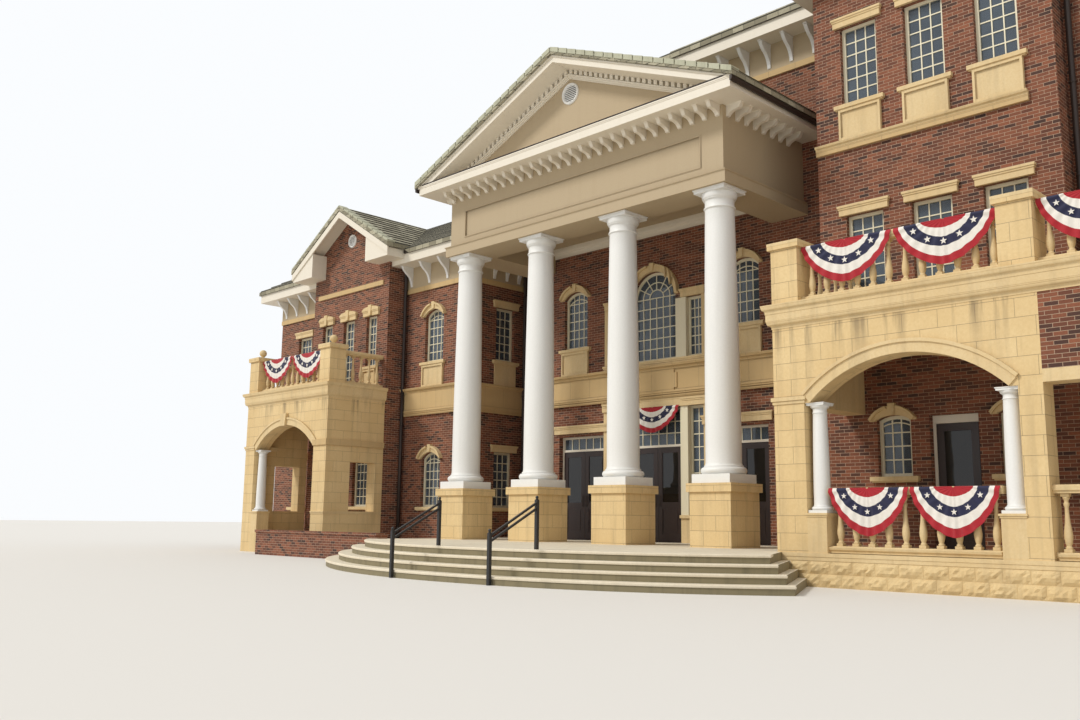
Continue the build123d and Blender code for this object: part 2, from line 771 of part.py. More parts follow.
def block(x0, x1, y0, y1, eave, kind, drop):
    """Solid under one part of a roof. The kind says which sides slope: along x, along y or all."""
    spread = 400.0 if drop else 0.0
    if kind == "along_x":
        return prism(slopes(y0, y1, eave, drop), Plane.YZ, x0 - spread, x1 - x0 + 2 * spread)
    if kind == "gable_front":
        return prism(slopes(x0, x1, eave, drop), Plane.XZ, -y1, y1 - y0 + spread)
    front = prism(slopes(y0, y1, eave, drop), Plane.YZ, x0 - 2 * spread, x1 - x0 + 4 * spread)
    ends = prism(slopes(x0, x1, eave, drop), Plane.XZ, -y1 - 2 * spread, y1 - y0 + 4 * spread)
    return front & ends


def roof(parts):
    """Hollow tiled roof over several parts, with its valleys."""
    outer = None
    inner = None
    for part in parts:
        above = block(*part, 0.0)
        below = block(*part, ROOF_THICK)
        outer = above if outer is None else outer + above
        inner = below if inner is None else inner + below
    return outer - inner


def left_bay_middle():
    """Middle of the bay along the front."""
    return (BAY_LEFT + BAY_RIGHT) / 2


def bay_half():
    """Half the width of the bay's roof."""
    return (BAY_RIGHT - BAY_LEFT) / 2 + EAVE_OVERHANG


def bay_eave():
    """Eave height of the bay, whose ridge is level with the wing's ridge."""
    span = (WING_BACK - WING_FRONT) / 2 + EAVE_OVERHANG
    return WING_EAVE + (span - bay_half()) * ROOF_PITCH


def wing_parts():
    """Parts of the left wing's roof: a hipped part, the bay's gable across it and a low link."""
    out = EAVE_OVERHANG
    middle = (WING_FRONT + WING_BACK) / 2
    cross = (BAY_LEFT + BAY_RIGHT) / 2
    half = bay_half()
    return [
        (WING_LEFT - out, WING_RIGHT + out, WING_FRONT - out, WING_BACK + out, WING_EAVE, "hipped"),
        (cross - half, cross + half, BAY_FRONT - RAKE_OVERHANG, middle, bay_eave(), "gable_front"),
        (WING_RIGHT - BAY / 2, CENTRE_LEFT, LINK_FRONT - out, WING_BACK + out, WING_EAVE, "along_x"),
    ]


def wing_roof():
    """Roof of the left wing, ending against the middle block."""
    return roof(wing_parts()) & box(WING_LEFT - BAY, CENTRE_LEFT, -BAY, MAIN_BACK, 0, MAIN_EAVE)


def main_parts():
    """Parts of the main roof: two hipped blocks and the pavilion's gable across them."""
    out = EAVE_OVERHANG
    middle = (CENTRE_FRONT + MAIN_BACK) / 2
    cross = (PAVILION_LEFT + PAVILION_RIGHT) / 2
    half = (PAVILION_RIGHT - PAVILION_LEFT) / 2 + out
    front = CENTRE_FRONT - out
    back = MAIN_BACK + out
    return [
        (CENTRE_LEFT - out, RIGHT_END + out, front, back, MAIN_EAVE, "hipped"),
        (cross - half, cross + half, PAVILION_FRONT - RAKE_OVERHANG, middle, MAIN_EAVE, "gable_front"),
        (PAVILION_RIGHT - out, RIGHT_END + out, RIGHT_FRONT - out, back, MAIN_EAVE, "hipped"),
    ]


def ridge_cap(part):
    """Raised cap along the level ridge of one part of a roof that slopes to the front and the back."""
    x0, x1, y0, y1, eave, _ = part
    half = (y1 - y0) / 2
    middle = (y0 + y1) / 2
    peak = eave + half * ROOF_PITCH
    foot = peak - RIDGE_HALF * ROOF_PITCH
    points = [
        (middle - RIDGE_HALF, foot), (middle - RIDGE_HALF / 2, peak + RIDGE_CAP),
        (middle + RIDGE_HALF / 2, peak + RIDGE_CAP), (middle + RIDGE_HALF, foot), (middle, peak),
    ]
    return prism(points, Plane.YZ, x0 + half, x1 - x0 - 2 * half)


def main_roof():
    """Roof of the middle and right blocks, with a cap on its long ridge."""
    parts = main_parts()
    return roof(parts) + ridge_cap(parts[0])


def boxed_eaves(parts, corners, gable_left, gable_right, gable_front):
    """Boxed eaves round one roof, with short returns at the foot of its gable."""
    made = None
    for x0, x1, y0, y1, eave, kind in parts:
        inset = GUTTER / 2
        top = eave + EAVE_OVERHANG * ROOF_PITCH
        slab = box(x0 + inset, x1 - inset, y0 + inset, y1 - inset, eave - EAVE_BOX, top)
        slab &= block(x0, x1, y0, y1, eave, kind, ROOF_THICK)
        made = slab if made is None else made + slab
    made -= prism(corners, Plane.XY, GROUND, 2 * MAIN_EAVE)
    clear = box(
        gable_left + EAVE_RETURN, gable_right - EAVE_RETURN, gable_front - BAY, gable_front,
        GROUND, 2 * MAIN_EAVE,
    )
    return made - clear


def eaves():
    """Boxed eaves of both roofs."""
    wing = boxed_eaves(wing_parts(), plan_low(), BAY_LEFT, BAY_RIGHT, BAY_FRONT)
    wing &= box(WING_LEFT - BAY, CENTRE_LEFT, -BAY, MAIN_BACK, 0, MAIN_EAVE)
    main = boxed_eaves(
        main_parts(), plan_high(), PAVILION_LEFT, PAVILION_RIGHT, PAVILION_FRONT
    )
    return list(wing.solids()) + list(main.solids())


def brackets_along(low, high, pitch):
    """Even places between two ends, at most a pitch apart."""
    count = max(1, math.ceil((high - low) / pitch))
    return [low + (high - low) * place / count for place in range(count + 1)]


def behind_portico():
    """How far from the middle the portico's roof hides the frieze behind it."""
    bottom = MAIN_EAVE - EAVE_BOX - BRACKET_HEIGHT - FRIEZE_FOOT - BAND_HEIGHT
    return CORNICE_OUT - (bottom - TILE_THICK - CORNICE_TOP) / PORTICO_PITCH


def eave_brackets():
    """Curved brackets under the boxed eaves."""
    one = modillion(BRACKET_DEPTH, BRACKET_WIDTH, BRACKET_HEIGHT)
    wide = BRACKET_WIDTH
    low = WING_EAVE - EAVE_BOX
    high = MAIN_EAVE - EAVE_BOX
    made = []
    for x in brackets_along(BAY_RIGHT + 3 * wide, WING_RIGHT - 9 * wide, 950):
        made.append(Pos(x, WING_FRONT, low) * one)
    for x in brackets_along(WING_LEFT + 3 * wide, BAY_LEFT - 8 * wide, 950):
        made.append(Pos(x, WING_FRONT, low) * one)
    for y in brackets_along(WING_FRONT + 9 * wide, LINK_FRONT - 3 * wide, 950):
        made.append(Pos(WING_RIGHT, y, low) * Rot(0, 0, 90) * one)
    for x in brackets_along(CENTRE_LEFT + 3 * wide, PAVILION_LEFT - 3 * wide, 640):
        if abs(x) > behind_portico():
            made.append(Pos(x, CENTRE_FRONT, high) * one)
    for x in brackets_along(PAVILION_RIGHT + 8 * wide, RIGHT_END - 3 * wide, 950):
        made.append(Pos(x, RIGHT_FRONT, high) * one)
    return made


def arch_wall(left, right, middle, half, front):
    """Arched front of a porch above the springing line."""
    wall = Wall("front", front, left, right)
    body = wall.panel(ARCH_SPRING, BALCONY_TOP - BALCONY_THICK, 0, PORCH_WALL)
    face = outline(2 * half, ARCH_SPRING - 500, ARCH_SPRING, ARCH_RISE, turn_step=ARCH_TURN / 3)
    return body - wall.place(face, middle, -PORCH_WALL, 2 * PORCH_WALL)


def left_porch_arch():
    """Front of the left porch with its arch."""
    middle = left_arch_middle()
    return arch_wall(LEFT_PORCH_LEFT, BAY_RIGHT, middle, LEFT_ARCH_HALF, LEFT_PORCH_FRONT)


def left_arch_middle():
    """Middle of the left porch."""
    return (LEFT_PORCH_LEFT + BAY_RIGHT) / 2


def left_porch_walls():
    """Piers and side walls of the left porch, each side with a square opening."""
    low = BALCONY_TOP - BALCONY_THICK
    column_outer = left_arch_middle() - LEFT_ARCH_HALF + COLUMN_IN - PEDESTAL_HALF
    made = []
    for outer, inner, pier in (
        (BAY_RIGHT, BAY_RIGHT - PORCH_WALL, left_arch_middle() + LEFT_ARCH_HALF),
        (LEFT_PORCH_LEFT, LEFT_PORCH_LEFT + PORCH_WALL, column_outer),
    ):
        x0, x1 = sorted((outer, inner))
        wall = box(x0, x1, LEFT_PORCH_FRONT + PORCH_WALL, BAY_FRONT, GROUND, low)
        wall -= box(x0 - 1, x1 + 1, SIDE_HOLE_FRONT, SIDE_HOLE_BACK, SIDE_HOLE_SILL, SIDE_HOLE_HEAD)
        p0, p1 = sorted((outer, pier))
        front = box(p0, p1, LEFT_PORCH_FRONT, LEFT_PORCH_FRONT + PORCH_WALL, GROUND, ARCH_SPRING)
        made.append(wall + front)
    return made


def porch_column_places():
    """Where the small columns stand: one in the left porch and two in the right."""
    left = left_arch_middle() - LEFT_ARCH_HALF + COLUMN_IN
    offset = RIGHT_ARCH_HALF - COLUMN_IN
    right_y = RIGHT_PORCH_FRONT + PORCH_WALL / 2
    return [
        (left, LEFT_PORCH_FRONT + PORCH_WALL / 2),
        (RIGHT_ARCH_MIDDLE - offset, right_y),
        (RIGHT_ARCH_MIDDLE + offset, right_y),
    ]


def porch_columns():
    """Small columns that carry the ends of the porch arches."""
    return [small_column(x, y, PEDESTAL_TOP) for x, y in porch_column_places()]


def small_column(x, y, bottom):
    """One porch column up to the springing line."""
    radius = PORCH_COLUMN_RADIUS
    wide = PEDESTAL_HALF - 5
    return column(x, y, bottom, ARCH_SPRING, radius, radius * 0.86, wide, 90, wide)


def porch_pedestals():
    """Stone pedestals under the small columns."""
    deep = PORCH_WALL / 2
    return [
        box(x - PEDESTAL_HALF, x + PEDESTAL_HALF, y - deep, y + deep, 0, PEDESTAL_TOP)
        for x, y in porch_column_places()
    ]


def porch_floors():
    """Raised floors of both porches, down to the ground."""
    pier_front = LEFT_PORCH_FRONT + PORCH_WALL
    column_outer = left_arch_middle() - LEFT_ARCH_HALF + COLUMN_IN - PEDESTAL_HALF
    left = box(
        LEFT_PORCH_LEFT + PORCH_WALL, BAY_RIGHT - PORCH_WALL, pier_front, BAY_FRONT, GROUND, 0
    )
    left += box(
        column_outer, left_arch_middle() + LEFT_ARCH_HALF, LEFT_PORCH_FRONT, pier_front, GROUND, 0
    )
    right = box(RIGHT_PORCH_LEFT, RIGHT_PORCH_RIGHT, RIGHT_PORCH_FRONT, PAVILION_FRONT, GROUND, 0)
    back = box(PAVILION_RIGHT, RIGHT_PORCH_RIGHT, PAVILION_FRONT, RIGHT_FRONT, GROUND, 0)
    return [left, right + back]


def right_porch_arch():
    """Front of the right porch over its arch."""
    return arch_wall(
        RIGHT_PORCH_LEFT, MIDDLE_PIER_RIGHT, RIGHT_ARCH_MIDDLE, RIGHT_ARCH_HALF, RIGHT_PORCH_FRONT
    )


def right_porch_piers():
    """Piers of the right porch."""
    front = RIGHT_PORCH_FRONT
    back = front + PORCH_WALL
    top = BALCONY_TOP - BALCONY_THICK
    reach = RIGHT_ARCH_HALF - COLUMN_IN + PEDESTAL_HALF
    made = [
        box(RIGHT_PORCH_LEFT, RIGHT_ARCH_MIDDLE - reach, front, back, 0, ARCH_SPRING),
        box(RIGHT_ARCH_MIDDLE + reach, MIDDLE_PIER_RIGHT, front, back, 0, ARCH_SPRING),
        box(RIGHT_PORCH_RIGHT - END_PIER, RIGHT_PORCH_RIGHT, front, back, 0, top),
    ]
    return made


def right_porch_spandrel():
    """Stone lintel and brick wall over the square opening of the right porch."""
    end = RIGHT_PORCH_RIGHT - END_PIER
    front = RIGHT_PORCH_FRONT
    top = BALCONY_TOP - BALCONY_THICK
    return box(MIDDLE_PIER_RIGHT, end, front, front + PORCH_WALL, LINTEL_BOTTOM + LINTEL_HEIGHT, top)


def right_porch_lintels():
    """Lintels of the right porch: over its square opening, and over both open sides."""
    end = RIGHT_PORCH_RIGHT - END_PIER
    front = RIGHT_PORCH_FRONT
    back = front + PORCH_WALL
    top = LINTEL_BOTTOM + LINTEL_HEIGHT
    deck = BALCONY_TOP - BALCONY_THICK
    return [
        box(MIDDLE_PIER_RIGHT, end, front, back, LINTEL_BOTTOM, top),
        box(RIGHT_PORCH_LEFT, RIGHT_PORCH_LEFT + PORCH_WALL, back, PAVILION_FRONT, LINTEL_BOTTOM, deck),
        box(RIGHT_PORCH_RIGHT - PORCH_WALL, RIGHT_PORCH_RIGHT, back, RIGHT_FRONT, LINTEL_BOTTOM, deck),
    ]


def balconies():
    """Stone balcony decks over both porches, with a projecting edge."""
    low = BALCONY_TOP - BALCONY_THICK
    left = box(
        LEFT_PORCH_LEFT - LEDGE, BAY_RIGHT + LEDGE, LEFT_PORCH_FRONT - LEDGE, BAY_FRONT, low, BALCONY_TOP
    )
    right = box(
        RIGHT_PORCH_LEFT - LEDGE, RIGHT_PORCH_RIGHT + LEDGE, RIGHT_PORCH_FRONT - LEDGE, PAVILION_FRONT,
        low, BALCONY_TOP,
    )
    right += box(
        PAVILION_RIGHT, RIGHT_PORCH_RIGHT + LEDGE, PAVILION_FRONT, RIGHT_FRONT, low, BALCONY_TOP
    )
    return [left, right]


def balustrade(start, end, fixed, bottom, top, along="x"):
    """Two rails with posts between them."""
    half = RAIL_WIDTH / 2
    post = BALUSTER / 2
    count = max(2, round((end - start) / BALUSTER_PITCH))
    pitch = (end - start) / count
    if along == "x":
        panel = box(start, end, fixed - half, fixed + half, bottom, bottom + RAIL_HEIGHT)
        panel += box(start, end, fixed - half, fixed + half, top - RAIL_HEIGHT, top)
    else:
        panel = box(fixed - half, fixed + half, start, end, bottom, bottom + RAIL_HEIGHT)
        panel += box(fixed - half, fixed + half, start, end, top - RAIL_HEIGHT, top)
    for place in range(count):
        middle = start + pitch * (place + 0.5)
        x, y = (middle, fixed) if along == "x" else (fixed, middle)
        panel += box(
            x - post, x + post, y - post, y + post, bottom + RAIL_HEIGHT, top - RAIL_HEIGHT
        )
    return panel


def balcony_pier(x, y):
    """Square pier of a balcony rail, with its cap."""
    half = PIER_WIDTH / 2
    cap = half + 50
    pier = box(x - half, x + half, y - half, y + half, BALCONY_TOP, BALCONY_RAIL_TOP)
    return pier + box(x - cap, x + cap, y - cap, y + cap, BALCONY_RAIL_TOP, BALCONY_RAIL_TOP + 130)


def left_pier_places():
    """Middles of the left balcony's two front piers."""
    half = PIER_WIDTH / 2
    return [
        (LEFT_PORCH_LEFT + half, LEFT_PORCH_FRONT + half),
        (BAY_RIGHT - half, LEFT_PORCH_FRONT + half),
    ]


def right_pier_places():
    """Middles of the right balcony's front piers."""
    half = PIER_WIDTH / 2
    y = RIGHT_PORCH_FRONT + half
    return [(RIGHT_PORCH_LEFT + half, y), (MIDDLE_PIER_RIGHT - half, y), (RIGHT_PORCH_RIGHT - half, y)]


def balcony_piers():
    """All piers of the balcony rails."""
    return [balcony_pier(x, y) for x, y in left_pier_places() + right_pier_places()]


def left_balustrades():
    """Rails of the left balcony."""
    (left, y), (right, _) = left_pier_places()
    half = PIER_WIDTH / 2
    made = [balustrade(left + half, right - half, y, BALCONY_TOP, BALCONY_RAIL_TOP)]
    for x in (left, right):
        made.append(balustrade(y + half, BAY_FRONT, x, BALCONY_TOP, BALCONY_RAIL_TOP, "y"))
    return made


def right_balustrades():
    """Rails of the right balcony."""
    places = right_pier_places()
    half = PIER_WIDTH / 2
    y = places[0][1]
    made = []
    for (a, _), (b, _) in zip(places, places[1:]):
        made.append(balustrade(a + half, b - half, y, BALCONY_TOP, BALCONY_RAIL_TOP))
    first = places[0][0]
    last = places[-1][0]
    made.append(balustrade(y + half, PAVILION_FRONT, first, BALCONY_TOP, BALCONY_RAIL_TOP, "y"))
    made.append(balustrade(y + half, RIGHT_FRONT, last, BALCONY_TOP, BALCONY_RAIL_TOP, "y"))
    return made


def porch_balustrades():
    """Low rails between the right porch's pedestals and in its square opening."""
    y = RIGHT_PORCH_FRONT + PORCH_WALL / 2
    reach = RIGHT_ARCH_HALF - COLUMN_IN - PEDESTAL_HALF
    middle = RIGHT_ARCH_MIDDLE
    first = balustrade(middle - reach, middle + reach, y, 0, PORCH_RAIL_TOP)
    end = RIGHT_PORCH_RIGHT - END_PIER
    return [first, balustrade(MIDDLE_PIER_RIGHT, end, y, 0, PORCH_RAIL_TOP)]


def belt_courses():
    """Wide stone belts between the lower storeys, and bands under the eave brackets."""
    wing = Wall("front", WING_FRONT, BAY_RIGHT, WING_RIGHT)
    side = Wall("right", WING_RIGHT, WING_FRONT, LINK_FRONT)
    left = Wall("front", WING_FRONT, WING_LEFT, BAY_LEFT)
    centre = Wall("front", CENTRE_FRONT, CENTRE_LEFT, PAVILION_LEFT)
    pavilion = WALLS["pavilion_front_wall"]
    bay = Wall("front", BAY_FRONT, BAY_LEFT, BAY_RIGHT - PIER_WIDTH / 2)
    corner_belt = wing.panel(BELT_BOTTOM, BELT_TOP, -BELT_OUT, 0, end=WING_RIGHT + BELT_OUT)
    corner_belt += side.panel(BELT_BOTTOM, BELT_TOP, -BELT_OUT, 0)
    low = WING_EAVE - EAVE_BOX
    corner_band = band_under(wing, low, end=WING_RIGHT + BAND_OUT) + band_under(side, low)
    return [
        corner_belt,
        corner_band,
        centre.panel(BELT_BOTTOM, BELT_TOP, -BELT_OUT, 0) + tablet(centre),
        left.panel(BELT_BOTTOM, BELT_TOP, -BELT_OUT, 0),
        pavilion.panel(LEDGE_BOTTOM, LEDGE_TOP, -TRIM_OUT, 0, end=LEDGE_END),
        bay.panel(BAY_BAND, BAY_BAND + BAND_HEIGHT, -BAND_OUT, 0, BAY_LEFT + PIER_WIDTH / 2),
        string_course(),
        band_under(left, low),
        band_under(centre, MAIN_EAVE - EAVE_BOX, end=-behind_portico()),
        band_under(centre, MAIN_EAVE - EAVE_BOX, start=behind_portico()),
    ]


def tablet(wall):
    """Bare notched tablet on the belt over the middle door."""
    half = TABLET_HALF
    low = BELT_BOTTOM + TABLET_MARGIN
    high = BELT_TOP - TABLET_MARGIN
    cut = TABLET_NOTCH
    right = [
        (half - cut, low), (half - cut, low + cut), (half, low + cut), (half, high - cut),
        (half - cut, high - cut), (half - cut, high),
    ]
    left = [(-x, z) for x, z in reversed(right)]
    face = make_face(Polyline(*right, *left, close=True))
    return wall.place(face, 0, -BELT_OUT - TABLET_OUT, 0)


def string_course():
    """Stone band round the corner pier of the left porch, level with the arch's springing."""
    low = ARCH_SPRING
    high = low + STRING_HEIGHT
    pier = left_arch_middle() + LEFT_ARCH_HALF
    out = BAND_OUT
    front = box(pier, BAY_RIGHT + out, LEFT_PORCH_FRONT - out, LEFT_PORCH_FRONT, low, high)
    return front + box(BAY_RIGHT, BAY_RIGHT + out, LEFT_PORCH_FRONT, BAY_FRONT, low, high)


def band_under(wall, top, start=None, end=None):
    """Projecting band below the eave brackets, whose tops are at a height."""
    bottom = top - BRACKET_HEIGHT - FRIEZE_FOOT - BAND_HEIGHT
    return wall.panel(bottom, bottom + BAND_HEIGHT, -BAND_OUT, 0, start, end)


def hood(wall, at, opening):
    """Moulded head over an opening, following its arch."""
    wide = opening.width + 260
    top = opening.spring + opening.rise + 210
    if opening.rise > 0:
        outer = outline(wide, opening.spring - 20, opening.spring + 20, opening.rise + HOOD_HEIGHT)
    else:
        outer = outline(wide, opening.spring, top, 0)
    body = wall.place(outer, at, -TRIM_OUT, 0) - opening.slab(wall, 0, -TRIM_OUT - 10, 10)
    if opening.rise > 0:
        body += keystone(wall, at, opening.spring + opening.rise, HOOD_HEIGHT)
    return body


def keystone(wall, at, bottom, height):
    """Wedge-shaped keystone, standing a little prouder and higher than its arch."""
    top = bottom + height + KEY_RISE
    face = make_face(Polyline(
        (-KEY_HALF * 0.7, bottom), (KEY_HALF * 0.7, bottom), (KEY_HALF, top), (-KEY_HALF, top), close=True,
    ))
    return wall.place(face, at, -TRIM_OUT * 1.5, 0)


def door_heads():
    """Stone heads over the two side doors and the sill of the wide middle window."""
    centre = WALLS["centre_front_wall"]
    made = []
    for hole in centre.openings:
        if not hole.glazed and hole.at:
            half = hole.width / 2 + 2 * TRIM_OUT
            made.append(centre.panel(
                SIDE_HEAD_BOTTOM, SIDE_HEAD_TOP, -TRIM_OUT, 0, hole.at - half, hole.at + half
            ))
    wide = [hole for hole in centre.openings if hole.glazed and BELT_TOP < hole.sill < UPPER_SILL]
    reach = max(hole.at + hole.width / 2 for hole in wide) + 2 * TRIM_OUT
    made.append(centre.panel(BELT_TOP, wide[0].sill, -TRIM_OUT, 0, -reach, reach))
    return made


def apron(wall, at, opening, bottom):
    """Stone apron and sill under a window."""
    half = opening.width / 2 + 60
    sill = wall.panel(
        opening.sill - SILL_HEIGHT, opening.sill, -TRIM_OUT, 0, at - half - 60, at + half + 60
    )
    if bottom is None:
        return sill
    panel = wall.panel(bottom, opening.sill - SILL_HEIGHT, -TRIM_OUT / 2, 0, at - half, at + half)
    return sill + panel


def trims():
    """Heads and aprons of all ordinary windows."""
    heads = []
    aprons = []
    for wall in WALLS.values():
        for hole in wall.openings:
            if not hole.glazed:
                continue
            heads.append(hood(wall, hole.at, hole))
            if hole.sill == UPPER_SILL:
                aprons.append(apron(wall, hole.at, hole, BELT_TOP))
            elif hole.sill == THIRD_SILL:
                aprons.append(apron(wall, hole.at, hole, hole.sill - 800))
            elif hole.sill in (LOWER_SILL, 1440):
                aprons.append(apron(wall, hole.at, hole, None))
    return heads + door_heads(), aprons


def window_frames():
    """Frames of all glazed openings."""
    made = []
    for wall in WALLS.values():
        made.extend(wall.sashes())
    return made


def window_glass():
    """Panes of all glazed openings."""
    made = []
    for wall in WALLS.values():
        made.extend(wall.panes())
    return made


def leaf(hung):
    """Door leaf about x = 0, its outer face at y = 0, on two pivots at its left (-1) or right (1)."""
    half = LEAF_WIDTH / 2
    body = box(-half, half, 0, LEAF_THICK, LEAF_GAP, LEAF_HEIGHT)
    deep = (LEAF_THICK - PANE) / 2
    high = half - LEAF_STILE
    for bottom, top, sunk in (
        (LEAF_LIGHT, LEAF_HEIGHT - LEAF_STILE, deep),
        (LEAF_STILE * 2, LEAF_LIGHT - LEAF_STILE, deep / 2),
    ):
        body -= box(-high, high, -1, sunk, bottom, top)
        body -= box(-high, high, LEAF_THICK - sunk, LEAF_THICK + 1, bottom, top)
    length = LEAF_GAP - PIVOT_PLAY
    for middle in (LEAF_GAP - length / 2, LEAF_HEIGHT + length / 2):
        pivot = rounded(PIVOT_RADIUS, length, PIVOT_FACETS)
        body += Pos(hung * (half - PIVOT_IN), PIVOT_BACK, middle) * pivot
    return body


def leaves():
    """Three pairs of doors under the portico and the single door of the right porch."""
    made = {}
    y = CENTRE_FRONT + DOOR_SET
    for name, x in (("left", -SIDE_DOOR_X), ("middle", 0.0), ("right", SIDE_DOOR_X)):
        half = (LEAF_WIDTH + LEAF_GAP) / 2
        made[name + "_pair_left_leaf"] = Pos(x - half, y, 0) * leaf(-1)
        made[name + "_pair_right_leaf"] = Pos(x + half, y, 0) * leaf(1)
    made["porch_door_leaf"] = Pos(porch_door_x(), PAVILION_FRONT + DOOR_SET, 0) * leaf(-1)
    return made


def porch_door_x():
    """Middle of the right porch's doorway."""
    return [hole.at for hole in WALLS["pavilion_front_wall"].openings if not hole.glazed][0]


def door_frame(x, hole, face):
    """White frame round a doorway: jambs, head and a bar over the leaves."""
    half = hole.width / 2
    y0 = face + DOOR_SET
    y1 = y0 + FRAME_DEPTH
    bar = LEAF_HEIGHT + LEAF_GAP
    frame = box(x - half, x + half, y0, y1, 0, hole.spring)
    frame -= box(x - half + FRAME, x + half - FRAME, y0 - 1, y1 + 1, -1, bar)
    if hole.spring - FRAME > bar + 2 * FRAME:
        frame -= box(
            x - half + FRAME, x + half - FRAME, y0 - 1, y1 + 1, bar + FRAME, hole.spring - FRAME
        )
    return frame


def doorways():
    """Every doorway with its wall face."""
    found = []
    for name in ("centre_front_wall", "pavilion_front_wall"):
        wall = WALLS[name]
        found.extend((hole, wall.face) for hole in wall.openings if not hole.glazed)
    return found


def door_frames():
    """Frames of the four doorways."""
    return [door_frame(hole.at, hole, face) for hole, face in doorways()]


def transoms():
    """Fixed glass over the leaves."""
    made = []
    bar = LEAF_HEIGHT + LEAF_GAP + FRAME
    for hole, face in doorways():
        if hole.spring - FRAME > bar + FRAME:
            half = hole.width / 2 - FRAME
            y = face + DOOR_SET + FRAME_DEPTH / 2
            made.append(
                box(hole.at - half, hole.at + half, y - PANE / 2, y + PANE / 2, bar, hole.spring - FRAME)
            )
    return made


def low_wall():
    """Low brick wall with a cap, left of the steps."""
    front = LOW_WALL_FRONT
    back = front + LOW_WALL_THICK
    body = box(LOW_WALL_LEFT, LOW_WALL_RIGHT, front, back, GROUND, LOW_WALL_TOP - LOW_WALL_CAP)
    lip = 30.0
    cap = box(
        LOW_WALL_LEFT - lip, LOW_WALL_RIGHT, front - lip, back + lip, LOW_WALL_TOP - LOW_WALL_CAP,
        LOW_WALL_TOP,
    )
    return body + cap


def bar(start, end, half):
    """Square bar between two points of one upright plane along y."""
    (x, y0, z0), (_, y1, z1) = start, end
    long = math.hypot(y1 - y0, z1 - z0)
    across, up = (y0 - y1) / long * half, (z1 - z0) / long * half
    points = [(y0 - up, z0 - across), (y0 + up, z0 + across), (y1 + up, z1 + across), (y1 - up, z1 - across)]
    return prism(points, Plane.YZ, x - half, 2 * half)


def handrail(x):
    """Two posts with two sloping rails, from the landing to the ground before the lowest tread."""
    half = HANDRAIL_POST / 2
    upper = edge_of_tread(0, x) + HANDRAIL_BACK
    lower = edge_of_tread(RISERS - 1, x) - HANDRAIL_AHEAD
    foot = GROUND
    top = HANDRAIL_HEIGHT
    made = box(x - half, x + half, upper - half, upper + half, 0, top)
    made += box(x - half, x + half, lower - half, lower + half, foot, foot + top)
    for drop in HANDRAIL_DROPS:
        made += bar((x, upper, top - drop), (x, lower, foot + top - drop), HANDRAIL_BAR / 2)
    return made


def handrails():
    """Handrails on the steps."""
    return [handrail(x) for x in HANDRAILS]


def downspouts():
    """Rain pipes in the inner corners."""
    reach = PIPE_RADIUS + BELT_OUT + 10
    places = [
        (BAY_RIGHT + reach, WING_FRONT - reach, BALCONY_TOP, WING_EAVE - EAVE_BOX),
        (WING_RIGHT + reach, LINK_FRONT - reach, 0, WING_EAVE - EAVE_BOX),
        (PAVILION_RIGHT + reach, RIGHT_FRONT - reach, BALCONY_TOP, MAIN_EAVE - EAVE_BOX),
    ]
    return [
        Pos(x, y, (low + high) / 2) * rounded(PIPE_RADIUS, high - low) for x, y, low, high in places
    ]


def fan(x, front, top, width, drop):
    """One bunting fan, a thin half round of flat sides that hangs in front of a face."""
    half = width / 2
    count = 8
    points = [
        (-half * math.cos(math.pi * step / count), top - drop * math.sin(math.pi * step / count))
        for step in range(count + 1)
    ]
    return Pos(x, 0, 0) * prism(points, Plane.XZ, BUNTING_GAP - front, BUNTING_THICK)


def bunting():
    """Bunting fans on the right porch's rail, on both balconies and over the middle door."""
    reach = RIGHT_ARCH_HALF - COLUMN_IN - PEDESTAL_HALF
    rail = RIGHT_PORCH_FRONT + PORCH_WALL / 2 - RAIL_WIDTH / 2
    made = []
    for side in (-1, 1):
        made.append(fan(RIGHT_ARCH_MIDDLE + side * reach / 2, rail, PORCH_RAIL_TOP, reach - 20, 830))
    made.append(fan(0, CENTRE_FRONT - BELT_OUT, BELT_BOTTOM + BUNTING_LAP, DOOR_FAN, DOOR_FAN * 0.7))
    for places, (start, end) in (
        (left_pier_places(), (0, 1)), (right_pier_places(), (0, 1)), (right_pier_places(), (1, 2)),
    ):
        first = places[start][0] + PIER_WIDTH / 2
        last = places[end][0] - PIER_WIDTH / 2
        y = places[0][1] - RAIL_WIDTH / 2
        for side in (0.25, 0.75):
            x = first + (last - first) * side
            made.append(fan(x, y, BALCONY_RAIL_TOP, (last - first) / 2 - 40, 800))
    return made


